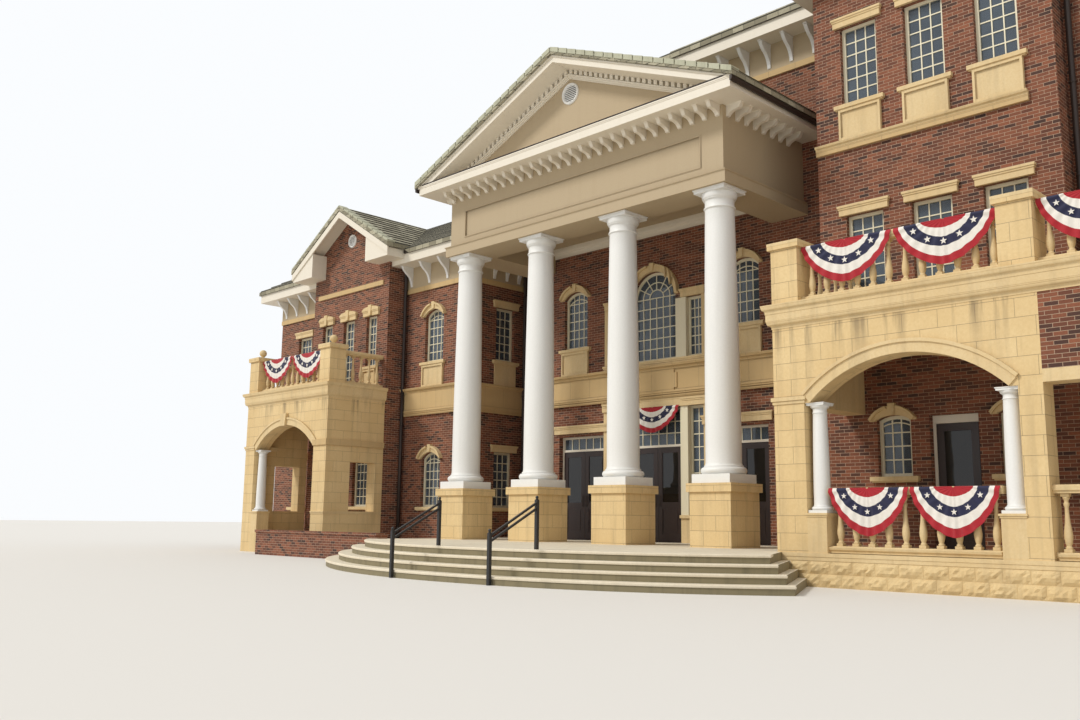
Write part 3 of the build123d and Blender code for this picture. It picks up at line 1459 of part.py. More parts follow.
def build():
    """Every node by name."""
    nodes = {}
    nodes["landing"] = landing()
    for number, name in enumerate(("upper_step", "middle_step", "lower_step"), start=1):
        nodes[name] = step(number)
    nodes["pedestals"] = pedestals()
    nodes["columns"] = columns()
    nodes["entablature_front"] = entablature_front()
    nodes["entablature_sides"] = entablature_sides()
    nodes["portico_ceiling"] = portico_ceiling()
    nodes["cornice"] = cornice()
    nodes["modillions"] = modillions()
    nodes["pediment_wall"] = pediment_wall()
    nodes["round_vents"] = [
        round_vent(0, FRIEZE_FRONT, vent_height(), VENT_RADIUS),
        round_vent(left_bay_middle(), BAY_FRONT, BAY_VENT_HEIGHT, BAY_VENT_RADIUS),
    ]
    nodes["raking_cornice"] = raking_cornice()
    nodes["portico_roof"] = portico_roof()
    centre = WALLS["centre_front_wall"]
    base = Wall("front", CENTRE_FRONT, CENTRE_LEFT, PAVILION_LEFT)
    nodes["centre_wall_base"] = base.panel(GROUND, 0)
    nodes["centre_wall_piers"] = list(centre.solid(0, TRANSOM_TOP).solids())
    nodes["centre_wall_upper"] = centre.solid(TRANSOM_TOP, under_roof(MAIN_EAVE))
    nodes["side_walls"] = [
        straight("left_end_wall", WING_EAVE), centre_left_wall(), straight("right_end_wall", MAIN_EAVE),
    ]
    nodes["wing_front_walls"] = wing_front_walls() + [straight("right_front_wall", MAIN_EAVE)]
    nodes["wing_side_wall"] = straight("wing_side_wall", WING_EAVE) + link_wall()
    vent_hole = Rot(90, 0, 0) * rounded(BAY_VENT_RADIUS, BAY)
    vent_hole = Pos(left_bay_middle(), BAY_FRONT, BAY_VENT_HEIGHT) * vent_hole
    nodes["bay_front_wall"] = gabled("bay_front_wall", bay_eave()) - vent_hole
    nodes["return_walls"] = bay_side_walls() + pavilion_side_walls()
    nodes["back_walls"] = [
        straight("wing_back_wall", WING_EAVE), straight("main_back_wall", MAIN_EAVE)
    ]
    nodes["pavilion_front_wall"] = gabled("pavilion_front_wall", MAIN_EAVE)
    nodes["ground_floor"] = floor(plan_low(), 0)
    nodes["upper_floors"] = [floor(plan_low(), SECOND_FLOOR), floor(plan_high(), THIRD_FLOOR)]
    nodes["wing_roof"] = wing_roof()
    nodes["main_roof"] = main_roof()
    nodes["eaves"] = eaves()
    nodes["eave_brackets"] = eave_brackets()
    nodes["porch_arches"] = [left_porch_arch(), right_porch_arch()]
    nodes["left_porch_walls"] = left_porch_walls()
    nodes["porch_columns"] = porch_columns()
    nodes["porch_pedestals"] = porch_pedestals()
    nodes["porch_floors"] = porch_floors()
    nodes["right_porch_piers"] = right_porch_piers()
    nodes["right_porch_spandrel"] = right_porch_spandrel()
    nodes["right_porch_lintels"] = right_porch_lintels()
    nodes["balconies"] = balconies()
    nodes["balcony_piers"] = balcony_piers()
    nodes["balcony_balustrades"] = left_balustrades() + right_balustrades()
    nodes["porch_balustrades"] = porch_balustrades()
    nodes["belt_courses"] = belt_courses()
    nodes["window_heads"], nodes["window_aprons"] = trims()
    nodes["window_frames"] = window_frames()
    nodes["window_glass"] = window_glass() + transoms()
    nodes["door_frames"] = door_frames()
    nodes.update(leaves())
    nodes["low_wall"] = low_wall()
    nodes["handrails"] = handrails()
    nodes["downspouts"] = downspouts()
    nodes["bunting"] = bunting()
    return nodes


def write(nodes):
    """One file for each node, raised to the ground's level."""
    os.makedirs("parts", exist_ok=True)
    lift = Pos(0, 0, -GROUND)
    for name, shape in nodes.items():
        if isinstance(shape, list):
            made = Compound(children=[lift * piece for piece in shape])
        else:
            made = lift * shape
        export_step(made, f"parts/{name}.step")


write(build())
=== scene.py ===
"""Looks of a brick town hall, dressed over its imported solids.

Sizes are in metres in the part's own frame: +X runs to the right along the front, +Y back into the
building and +Z up from the ground, with the origin below the middle of the portico's columns.
"""

import logging
import math
import random
from collections.abc import Callable, Iterable, Sequence
from dataclasses import KW_ONLY, dataclass, field
from enum import Enum
from functools import cached_property
from typing import ClassVar

import bmesh
import bpy
from mathutils import Matrix, Vector


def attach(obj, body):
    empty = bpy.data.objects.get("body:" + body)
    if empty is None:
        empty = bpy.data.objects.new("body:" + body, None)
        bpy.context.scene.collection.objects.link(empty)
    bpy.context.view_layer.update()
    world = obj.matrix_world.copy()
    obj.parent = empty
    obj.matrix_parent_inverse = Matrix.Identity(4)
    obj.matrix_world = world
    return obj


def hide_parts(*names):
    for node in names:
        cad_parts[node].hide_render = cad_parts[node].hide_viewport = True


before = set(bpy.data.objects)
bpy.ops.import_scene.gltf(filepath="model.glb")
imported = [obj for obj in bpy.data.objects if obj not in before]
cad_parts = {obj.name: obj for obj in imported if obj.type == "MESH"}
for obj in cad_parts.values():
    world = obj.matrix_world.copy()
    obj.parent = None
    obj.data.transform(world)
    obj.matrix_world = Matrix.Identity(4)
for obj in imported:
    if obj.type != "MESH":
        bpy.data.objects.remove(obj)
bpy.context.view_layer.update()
SAME = 1e-5  # points closer than this are one point
BACK_FROM, LEFT_UNTIL = 5.0, -15.0  # walls behind this y and left of this x look outwards there
LOG = logging.getLogger("town_hall")

Colour = tuple[float, float, float]
Pair = tuple[float, float]
Point = Sequence[float]
Socket = bpy.types.NodeSocket
Outputs = bpy.types.NodeOutputs
Value = object


def srgb(red: int, green: int, blue: int) -> Colour:
    """Linear colour of an 8-bit display colour.

    Args:
        red: Red from 0 to 255.
        green: Green from 0 to 255.
        blue: Blue from 0 to 255.

    Returns:
        The three linear values.
    """
    parts = [value / 255 for value in (red, green, blue)]
    return tuple(p / 12.92 if p <= 0.04045 else ((p + 0.055) / 1.055) ** 2.4 for p in parts)


class Graph:
    """Places and joins nodes in one node tree."""

    def __init__(self, tree: bpy.types.NodeTree) -> None:
        """Keeps the tree that the nodes go into."""
        self.tree = tree

    def add(
        self, kind: str, inputs: dict[str | int, Value] | None = None, **settings: Value
    ) -> bpy.types.Node:
        """A new node.

        Args:
            kind: Its type name.
            inputs: Values or sockets for its inputs, by name or number.
            settings: Its own settings.

        Returns:
            The node.
        """
        node = self.tree.nodes.new(kind)
        for name, value in settings.items():
            setattr(node, name, value)
        for key, value in (inputs or {}).items():
            self.feed(node.inputs[key], value)
        return node

    def feed(self, socket: Socket, value: Value) -> None:
        """Sets or links one input.

        Args:
            socket: The input.
            value: A socket to link, or a number, a colour or a vector to set.
        """
        if isinstance(value, Socket):
            self.tree.links.new(value, socket)
        elif isinstance(value, tuple) and len(value) == 3 and socket.type == "RGBA":
            socket.default_value = (*value, 1.0)
        else:
            socket.default_value = value

    def math(self, operation: str, first: Value, second: Value = 0.0) -> Socket:
        """Result of a Math node."""
        return self.add("ShaderNodeMath", {0: first, 1: second}, operation=operation).outputs[0]

    def times(self, first: Value, second: Value) -> Socket:
        """Product of two values."""
        return self.math("MULTIPLY", first, second)

    def mix(self, factor: Value, first: Value, second: Value) -> Socket:
        """A colour between two others."""
        return self.add("ShaderNodeMix", {0: factor, 6: first, 7: second}, data_type="RGBA").outputs[2]

    def pick(self, factor: Value, first: Value, second: Value) -> Socket:
        """A number between two others."""
        return self.add("ShaderNodeMix", {0: factor, 2: first, 3: second}).outputs[0]

    def span(self, value: Value, low: float, high: float, to_low: float, to_high: float) -> Socket:
        """A value carried from one range to another, clamped."""
        ends = {0: value, 1: low, 2: high, 3: to_low, 4: to_high}
        return self.add("ShaderNodeMapRange", ends, clamp=True).outputs[0]

    def noise(self, vector: Value, scale: Value, detail: float, rough: float = 0.55) -> Socket:
        """Value of a Noise node."""
        inputs = {"Vector": vector, "Scale": scale, "Detail": detail, "Roughness": rough}
        return self.add("ShaderNodeTexNoise", inputs).outputs[0]

    def parts(self, vector: Value) -> Outputs:
        """The three parts of a vector."""
        return self.add("ShaderNodeSeparateXYZ", {0: vector}).outputs

    def send(self, out: bpy.types.Node, values: dict[str, Value]) -> None:
        """Feeds the outputs of a group by name."""
        for name, value in values.items():
            self.feed(out.inputs[name], value)


def new_group(
    name: str, inputs: dict[str, float | None], outputs: Sequence[str]
) -> tuple[Graph, Outputs, bpy.types.Node]:
    """Starts a shader node group.

    Args:
        name: The group's name.
        inputs: Default value by input name, None for a vector.
        outputs: Output names; those of coordinates are vectors, the others numbers.

    Returns:
        The group's graph, what its input node gives and its output node.
    """
    tree = bpy.data.node_groups.new(name, "ShaderNodeTree")
    for label, value in inputs.items():
        kind = "NodeSocketVector" if value is None else "NodeSocketFloat"
        socket = tree.interface.new_socket(label, in_out="INPUT", socket_type=kind)
        if value is not None:
            socket.default_value = value
    for label in outputs:
        kind = "NodeSocketVector" if label in ("Flat", "Solid") else "NodeSocketFloat"
        tree.interface.new_socket(label, in_out="OUTPUT", socket_type=kind)
    graph = Graph(tree)
    return graph, graph.add("NodeGroupInput").outputs, graph.add("NodeGroupOutput")


class Effects:
    """Shader node groups that several finishes share, each built once."""

    def __init__(self) -> None:
        """Builds every group."""
        self.facing, self.courses = self.facing_group(), self.courses_group()
        self.weather, self.grain = self.weather_group(), self.grain_group()

    @staticmethod
    def facing_group() -> bpy.types.NodeTree:
        """Flat coordinates on whichever wall or floor a point lies: along it, and up it.

        Returns:
            The group.
        """
        graph, _, out = new_group("FlatCoordinates", {}, ("Flat", "Solid", "Level"))
        place = graph.add("ShaderNodeTexCoord").outputs
        where, turned = graph.parts(place["Object"]), graph.parts(place["Normal"])
        sideways = graph.math("GREATER_THAN", graph.math("ABSOLUTE", turned[0]), 0.7)
        level = graph.math("GREATER_THAN", graph.math("ABSOLUTE", turned[2]), 0.7)
        along, up = graph.pick(sideways, where[0], where[1]), graph.pick(level, where[2], where[1])
        flat = graph.add("ShaderNodeCombineXYZ", {0: along, 1: up}).outputs[0]
        graph.send(out, {"Flat": flat, "Solid": place["Object"], "Level": level})
        return graph.tree

    @staticmethod
    def courses_group() -> bpy.types.NodeTree:
        """Masonry courses: the joint mask, a random value for each block and a height.

        Returns:
            The group.
        """
        sizes = {"Flat": None, "Width": 0.213, "Height": 0.0685, "Joint": 0.005, "Soft": 0.3}
        graph, given, out = new_group("Courses", sizes, ("Joints", "Block", "Rise"))
        bond = graph.add("ShaderNodeTexBrick", {
            "Vector": given["Flat"], "Color1": (0.0, 0.0, 0.0), "Color2": (1.0, 1.0, 1.0),
            "Mortar": (0.5, 0.5, 0.5), "Scale": 1.0, "Mortar Size": given["Joint"],
            "Mortar Smooth": given["Soft"], "Brick Width": given["Width"], "Row Height": given["Height"],
        }).outputs
        block = graph.add("ShaderNodeSeparateColor", {0: bond["Color"]}).outputs[0]
        rise = graph.math("SUBTRACT", 1.0, bond["Fac"])
        graph.send(out, {"Joints": bond["Fac"], "Block": block, "Rise": rise})
        return graph.tree

    @staticmethod
    def weather_group() -> bpy.types.NodeTree:
        """Rain streaks that run down, and broad blotches, both as masks.

        Returns:
            The group.
        """
        graph, given, out = new_group("Weathering", {"Solid": None, "Size": 1.0}, ("Streaks", "Blotches"))
        inputs = {0: given["Solid"], 3: given["Size"]}
        scaled = graph.add("ShaderNodeVectorMath", inputs, operation="SCALE").outputs[0]
        long = graph.add("ShaderNodeMapping", {0: scaled, 3: (5.0, 5.0, 0.35)}).outputs[0]
        streaks = graph.span(graph.noise(long, 1.0, 4.0, 0.6), 0.5, 0.72, 0.0, 1.0)
        blotches = graph.span(graph.noise(scaled, 0.9, 5.0, 0.62), 0.4, 0.7, 0.0, 1.0)
        graph.send(out, {"Streaks": streaks, "Blotches": blotches})
        return graph.tree

    @staticmethod
    def grain_group() -> bpy.types.NodeTree:
        """Fine surface grain as a value about one half.

        Returns:
            The group.
        """
        graph, given, out = new_group("Grain", {"Solid": None, "Fineness": 60.0}, ("Grain",))
        graph.send(out, {"Grain": graph.noise(given["Solid"], given["Fineness"], 5.0, 0.65)})
        return graph.tree


class Making(Graph):
    """One material in the making, with the shared effects at hand."""

    def __init__(self, effects: Effects, name: str) -> None:
        """Starts the material.

        Args:
            effects: The shared effects.
            name: The material's name.
        """
        self.effects = effects
        self.material = bpy.data.materials.new(name)
        self.material.use_nodes = True
        super().__init__(self.material.node_tree)
        self.shader = self.tree.nodes["Principled BSDF"]

    def effect(self, group: bpy.types.NodeTree, inputs: dict[str, Value] | None = None) -> Outputs:
        """What a shared group gives for some inputs."""
        return self.add("ShaderNodeGroup", inputs, node_tree=group).outputs

    @cached_property
    def place(self) -> Outputs:
        """The flat and solid coordinates, placed when first asked for."""
        return self.effect(self.effects.facing)

    def grain(self, fineness: float, solid: Socket | None = None) -> Socket:
        """Fine surface grain."""
        inputs = {"Solid": solid or self.place["Solid"], "Fineness": fineness}
        return self.effect(self.effects.grain, inputs)["Grain"]

    def weather(self, size: float) -> Outputs:
        """Streaks and blotches."""
        return self.effect(self.effects.weather, {"Solid": self.place["Solid"], "Size": size})

    def settle(
        self, colour: Value, roughness: Value, height: Value, relief: float, strength: float = 1.0,
        plain: dict[str, float] | None = None,
    ) -> None:
        """Feeds the shader.

        Args:
            colour: Its base colour.
            roughness: Its roughness.
            height: Height that its normal comes from.
            relief: How deep that height is.
            strength: How strong the relief shows.
            plain: Values that are the same all over, by input name.
        """
        bump = self.add("ShaderNodeBump", {"Height": height, "Distance": relief, "Strength": strength})
        fed = {"Base Color": colour, "Roughness": roughness, "Normal": bump.outputs[0], **(plain or {})}
        for name, value in fed.items():
            self.feed(self.shader.inputs[name], value)


@dataclass(frozen=True)
class Brick:
    """Red-brown facing brick in running bond with pale joints."""

    name: str = "facing_brick"
    dark: Colour = srgb(96, 54, 38)
    warm: Colour = srgb(150, 90, 62)
    burnt: Colour = srgb(60, 40, 34)
    mortar: Colour = srgb(178, 152, 128)
    joint_depth: float = 0.004

    def dress(self, made: Making) -> None:
        """Places its nodes.

        Args:
            made: The material in the making.
        """
        bond = made.effect(made.effects.courses, {"Flat": made.place["Flat"]})
        grain = made.grain(45.0)
        tone = made.mix(made.span(bond["Block"], 0.1, 0.9, 0.0, 1.0), self.dark, self.warm)
        tone = made.mix(made.math("GREATER_THAN", bond["Block"], 0.86), tone, self.burnt)
        tone = made.mix(made.span(grain, 0.3, 0.7, 0.0, 0.35), tone, self.burnt)
        tone = made.mix(made.times(made.weather(0.8)["Blotches"], 0.22), tone, self.warm)
        tone = made.mix(bond["Joints"], tone, self.mortar)
        made.settle(tone, 0.85, made.math("ADD", bond["Rise"], made.times(grain, 0.35)), self.joint_depth)


@dataclass(frozen=True)
class Stone:
    """Cast or cut stone, with joints where it is laid in blocks.

    Attributes:
        name: The material's name.
        pale: Its lighter tone.
        deep: Its darker tone.
        stain: Colour of its streaks and joints.
        block: Length and height of its blocks.
        streaks: How strong its streaks are.
        relief: Depth of its grain.
        upright: Painted shade on its upright faces: the darker tone they take instead of the level faces'
            tone.
        dirt_below: Height of a ledge with dark runs below it.
    """

    name: str
    pale: Colour = srgb(228, 203, 154)
    deep: Colour = srgb(200, 169, 116)
    stain: Colour = srgb(120, 104, 84)
    block: Pair | None = None
    streaks: float = 0.25
    relief: float = 0.0015
    upright: Colour | None = None
    dirt_below: float = 0.0

    def dress(self, made: Making) -> None:
        """Places its nodes.

        Args:
            made: The material in the making.
        """
        grain, weather = made.grain(25.0), made.weather(1.0)
        tone = made.mix(made.span(grain, 0.25, 0.75, 0.0, 0.5), self.pale, self.deep)
        tone = made.mix(made.times(weather["Blotches"], 0.4), tone, self.deep)
        tone = made.mix(made.times(weather["Streaks"], self.streaks), tone, self.stain)
        # painted shade: upright faces such as stair risers take a darker tone than the level ones, with the
        # streaks still over it
        if self.upright:
            shade = made.mix(made.times(weather["Streaks"], 0.5), self.upright, self.stain)
            tone = made.mix(made.place["Level"], shade, tone)
        if self.dirt_below:
            up = made.parts(made.place["Solid"])[2]
            near = made.span(up, self.dirt_below - 0.7, self.dirt_below, 0.0, 1.0)
            under = made.times(near, made.math("LESS_THAN", up, self.dirt_below + 0.12))
            runs = made.times(under, made.span(weather["Streaks"], 0.1, 0.8, 0.0, 0.75))
            tone = made.mix(runs, tone, srgb(74, 64, 54))
        height = grain
        if self.block:
            sizes = {"Width": self.block[0], "Height": self.block[1], "Joint": 0.004, "Soft": 0.2}
            courses = made.effect(made.effects.courses, {"Flat": made.place["Flat"], **sizes})
            tone = made.mix(made.span(courses["Block"], 0.0, 1.0, 0.0, 0.3), tone, self.deep)
            tone = made.mix(made.times(courses["Joints"], 0.6), tone, self.stain)
            height = made.math("ADD", made.times(grain, 0.3), made.times(courses["Rise"], 2.0))
        made.settle(tone, 0.8, height, self.relief)


@dataclass(frozen=True)
class Paint:
    """Painted wood, plaster or metal, faintly uneven and a little dusty."""

    name: str
    colour: Colour
    worn: Colour
    roughness: float = 0.5
    metallic: float = 0.0
    fineness: float = 30.0

    def dress(self, made: Making) -> None:
        """Places its nodes.

        Args:
            made: The material in the making.
        """
        grain = made.grain(self.fineness)
        tone = made.mix(made.span(grain, 0.3, 0.75, 0.0, 0.2), self.colour, self.worn)
        tone = made.mix(made.times(made.weather(1.3)["Streaks"], 0.12), tone, self.worn)
        rough = made.span(grain, 0.2, 0.8, self.roughness - 0.08, self.roughness + 0.1)
        made.settle(tone, rough, grain, 0.0006, plain={"Metallic": self.metallic})


@dataclass(frozen=True)
class Cloth:
    """Thin woven cloth."""

    name: str
    colour: Colour
    worn: Colour

    def dress(self, made: Making) -> None:
        """Places its nodes.

        Args:
            made: The material in the making.
        """
        tone = made.mix(made.span(made.grain(12.0), 0.3, 0.7, 0.0, 0.5), self.colour, self.worn)
        made.settle(tone, 0.9, made.grain(420.0), 0.0006, plain={"Sheen Weight": 0.2})


@dataclass(frozen=True)
class Glazing:
    """Dark window glass, slightly wavy."""
    # Window glass tinted dark as painted shade of the rooms behind it, slightly wavy.

    name: str = "window_glazing"
    # tint and deep: glass colour darkened as painted shade of the rooms seen through it
    tint: Colour = srgb(110, 124, 138)
    deep: Colour = srgb(60, 70, 78)

    def dress(self, made: Making) -> None:
        """Places its nodes.

        Args:
            made: The material in the making.
        """
        wave = made.noise(made.place["Solid"], 1.3, 2.0)
        tone = made.mix(made.span(wave, 0.3, 0.7, 0.0, 0.4), self.tint, self.deep)
        plain = {"IOR": 1.5, "Metallic": 0.0, "Transmission Weight": 0.55}
        made.settle(tone, 0.03, wave, 0.01, 0.25, plain)


@dataclass(frozen=True)
class RoofTile:
    """Flat grey-green roof tiles: a tint for each tile and dark side joints."""

    name: str = "roof_tile"
    pale: Colour = srgb(186, 180, 156)
    deep: Colour = srgb(124, 118, 98)
    joint: Colour = srgb(48, 46, 40)
    width: float = 0.33
    course: float = 0.165

    def dress(self, made: Making) -> None:
        """Places its nodes.

        Args:
            made: The material in the making.
        """
        place = made.add("ShaderNodeTexCoord").outputs
        where, turned = made.parts(place["Object"]), made.parts(place["Normal"])
        reach = [made.math("ABSOLUTE", turned[i]) for i in (0, 1)]
        along = made.pick(made.math("GREATER_THAN", *reach), where[0], where[1])
        flat = made.add("ShaderNodeCombineXYZ", {0: along, 1: where[2]}).outputs[0]
        sizes = {"Width": self.width, "Height": self.course, "Joint": 0.006, "Soft": 0.1}
        bond = made.effect(made.effects.courses, {"Flat": flat, **sizes})
        grain = made.grain(18.0, place["Object"])
        tone = made.mix(bond["Block"], self.pale, self.deep)
        tone = made.mix(made.span(grain, 0.35, 0.75, 0.0, 0.5), tone, self.deep)
        tone = made.mix(made.times(bond["Joints"], 0.8), tone, self.joint)
        made.settle(tone, 0.85, made.math("ADD", bond["Rise"], made.times(grain, 0.4)), 0.006)


class Finish(Enum):
    """Every finish of the building."""

    BRICK = Brick()
    ASHLAR = Stone("ashlar_stone", block=(0.62, 0.31), dirt_below=4.84)
    CAST = Stone("cast_stone", srgb(222, 200, 156), streaks=0.22)
    BELT = Stone("belt_stone", srgb(196, 170, 126), block=(0.75, 0.9), streaks=0.15)
    ROCK = Stone("rock_faced_stone", srgb(222, 198, 150), srgb(188, 158, 108))
    PLASTER = Stone("plaster", srgb(206, 196, 176), srgb(190, 178, 156), streaks=0.0)
    # the concrete's upright colour is painted shade on the step risers
    CONCRETE = Stone("concrete", srgb(226, 217, 196), srgb(196, 184, 160), srgb(92, 86, 68), streaks=0.1,
                     relief=0.001, upright=srgb(132, 122, 94))
    TREAD_EDGE = Stone("tread_edge", srgb(232, 222, 200), srgb(204, 190, 164), streaks=0.1)
    STUCCO = Paint("frieze_paint", srgb(180, 162, 132), srgb(164, 143, 113), 0.7)
    CREAM = Paint("cream_paint", srgb(228, 220, 204), srgb(204, 194, 172))
    WHITE = Paint("white_paint", srgb(232, 232, 229), srgb(202, 200, 194), 0.45)
    SASH = Paint("sash_paint", srgb(228, 220, 192), srgb(192, 182, 154), 0.4)
    DOOR = Paint("door_paint", srgb(44, 31, 28), srgb(66, 48, 42), 0.35, fineness=14.0)
    IRON = Paint("black_iron", srgb(30, 30, 32), srgb(58, 56, 54), 0.4)
    BRONZE = Paint("dark_bronze", srgb(52, 42, 38), srgb(76, 64, 56), 0.45, 0.3)
    RED = Cloth("red_cloth", srgb(172, 30, 42), srgb(140, 26, 36))
    PALE = Cloth("white_cloth", srgb(232, 228, 220), srgb(206, 198, 186))
    NAVY = Cloth("navy_cloth", srgb(30, 32, 62), srgb(42, 44, 72))
    GLASS = Glazing()
    # door glass tinted near black: painted shade of the rooms behind the doors
    DOOR_GLASS = Glazing("door_glazing", srgb(46, 44, 42), srgb(34, 32, 32))
    TILE = RoofTile()
    SMALL_TILE = RoofTile("portico_tile", course=0.124)
    # painted shade: near-black finish for the foot of each tile course, standing for the shade under the
    # course above
    TILE_BUTT_SHADE = Stone("tile_butt_shade", srgb(64, 62, 52), srgb(44, 42, 36), srgb(34, 32, 28))
    VERGE_TILE = Stone("verge_tile", srgb(190, 190, 168), srgb(152, 150, 124), srgb(96, 94, 78))


class Paintbox:
    """Makes each finish once and hands out its material."""

    def __init__(self) -> None:
        """Builds the shared effects."""
        self.effects = Effects()
        self.made: dict[Finish, bpy.types.Material] = {}

    def __getitem__(self, finish: Finish) -> bpy.types.Material:
        """The material of a finish, made when first asked for.

        Args:
            finish: The finish.

        Returns:
            Its material.
        """
        if finish not in self.made:
            making = Making(self.effects, finish.value.name)
            finish.value.dress(making)
            self.made[finish] = making.material
        return self.made[finish]


NODES_BY_FINISH: dict[Finish, str] = {
    Finish.CONCRETE: "landing upper_step middle_step lower_step",
    Finish.ASHLAR: "pedestals porch_arches left_porch_walls right_porch_piers balcony_piers",
    Finish.WHITE: "columns round_vents eave_brackets porch_columns",
    Finish.STUCCO: "entablature_front entablature_sides portico_ceiling pediment_wall",
    Finish.CREAM: "cornice modillions raking_cornice eaves door_frames",
    Finish.SMALL_TILE: "portico_roof",
    Finish.TILE: "wing_roof main_roof",
    Finish.BRICK: "centre_wall_base centre_wall_piers centre_wall_upper side_walls wing_front_walls"
                  " wing_side_wall bay_front_wall return_walls back_walls pavilion_front_wall"
                  " right_porch_spandrel low_wall",
    Finish.PLASTER: "ground_floor upper_floors",
    Finish.CAST: "porch_pedestals right_porch_lintels balconies balcony_balustrades porch_balustrades"
                 " window_heads window_aprons",
    Finish.ROCK: "porch_floors",
    Finish.BELT: "belt_courses",
    Finish.SASH: "window_frames",
    Finish.GLASS: "window_glass",
    Finish.IRON: "handrails",
    Finish.BRONZE: "downspouts",
}


def dress_nodes(paint: Paintbox) -> None:
    """Gives every CAD node its finish; those without a line of their own are door leaves.

    Args:
        paint: Hands out the materials.
    """
    finishes = {node: finish for finish, nodes in NODES_BY_FINISH.items() for node in nodes.split()}
    for name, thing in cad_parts.items():
        if not thing.material_slots:
            thing.data.materials.append(None)
        for slot in thing.material_slots:
            slot.material = paint[finishes.get(name, Finish.DOOR)]


@dataclass
class Studio:
    """Floor, light and camera.

    Attributes:
        eye: Where the camera stands.
        turn: How far it looks to the left of the building's depth, in degrees.
        lift: How far it looks up, in degrees.
        roll: How far it leans, in degrees.
        lens: Its focal length in millimetres on a 36 mm sensor.
        floor_half: Half the side of the floor.
        sky_light: Strength of the even sky.
        sun_light: Strength of the soft sun.
        sun_spread: Width of the sun in degrees.
        sun_turns: How far the sun leans and turns, in degrees.
    """

    eye: Point = (16.736, -17.732, 1.086)
    turn: float = 45.63
    lift: float = 9.08
    roll: float = 0.72
    lens: float = 33.604
    floor_half: float = 200.0
    sky_light: float = 0.75
    sun_light: float = 1.9
    sun_spread: float = 12.0
    sun_turns: Pair = (48.0, -28.0)

    def build(self) -> None:
        """Makes all of it."""
        self.camera()
        self.floor()
        self.sky()
        self.sun()

    @staticmethod
    def place(name: str, data: bpy.types.ID) -> bpy.types.Object:
        """A new object in the scene.

        Args:
            name: Its name.
            data: Its camera, mesh or light.

        Returns:
            The object.
        """
        thing = bpy.data.objects.new(name, data)
        bpy.context.scene.collection.objects.link(thing)
        return thing

    def camera(self) -> None:
        """Camera at the photograph's place."""
        data = bpy.data.cameras.new("view")
        data.lens, data.sensor_width, data.clip_end = self.lens, 36.0, 1000.0
        thing = self.place("view", data)
        turns = ((self.turn, "Z"), (90 + self.lift, "X"), (self.roll, "Z"))
        turn, lift, roll = (Matrix.Rotation(math.radians(angle), 4, axis) for angle, axis in turns)
        thing.matrix_world = Matrix.Translation(self.eye) @ turn @ lift @ roll
        bpy.context.scene.camera = thing

    def floor(self) -> None:
        """Plain pale ground."""
        mesh, half = bpy.data.meshes.new("floor"), self.floor_half
        corners = [(-half, -half, 0), (half, -half, 0), (half, half, 0), (-half, half, 0)]
        mesh.from_pydata(corners, [], [(0, 1, 2, 3)])
        thing = self.place("floor", mesh)
        material = bpy.data.materials.new("floor")
        material.use_nodes = True
        shader = material.node_tree.nodes["Principled BSDF"]
        shader.inputs["Base Color"].default_value = (0.72, 0.70, 0.66, 1.0)
        shader.inputs["Roughness"].default_value = 0.9
        mesh.materials.append(material)

    def sky(self) -> None:
        """Even light that the camera, mirrors and glass see as nearly white."""
        world = bpy.context.scene.world = bpy.data.worlds.new("sky")
        world.use_nodes = True
        graph = Graph(world.node_tree)
        ray = graph.add("ShaderNodeLightPath").outputs
        seen = graph.math("MAXIMUM", ray["Is Glossy Ray"], ray["Is Transmission Ray"])
        seen = graph.math("MAXIMUM", ray["Is Camera Ray"], seen)
        back = world.node_tree.nodes["Background"]
        graph.feed(back.inputs["Color"], graph.mix(seen, (1.0, 1.0, 1.0), (0.96, 0.98, 1.0)))
        graph.feed(back.inputs["Strength"], graph.pick(seen, self.sky_light, 1.0))

    def sun(self) -> None:
        """Soft sun from the front left."""
        data = bpy.data.lights.new("sun", "SUN")
        data.energy, data.angle = self.sun_light, math.radians(self.sun_spread)
        data.color = (1.0, 0.97, 0.92)
        lean, turn = (math.radians(angle) for angle in self.sun_turns)
        self.place("sun", data).rotation_euler = (lean, 0.0, turn)


class Side(Enum):
    """Which way a wall's outer face looks: whether along x, and to which side."""

    FRONT = (False, -1)
    BACK = (False, 1)
    LEFT = (True, -1)
    RIGHT = (True, 1)


@dataclass(frozen=True)
class WallFace:
    """The outer face of one wall.

    Attributes:
        side: Which way it looks.
        at: Its y for a front or back wall, its x for a left or right wall.
    """

    side: Side
    at: float

    def point(self, along: float, out: float, height: float) -> Vector:
        """Place of a point.

        Args:
            along: Its place along the wall.
            out: How far it is out of the face.
            height: Its height above the ground.

        Returns:
            The place.
        """
        sideways, sign = self.side.value
        deep = self.at + sign * out
        return Vector((deep, along, height) if sideways else (along, deep, height))


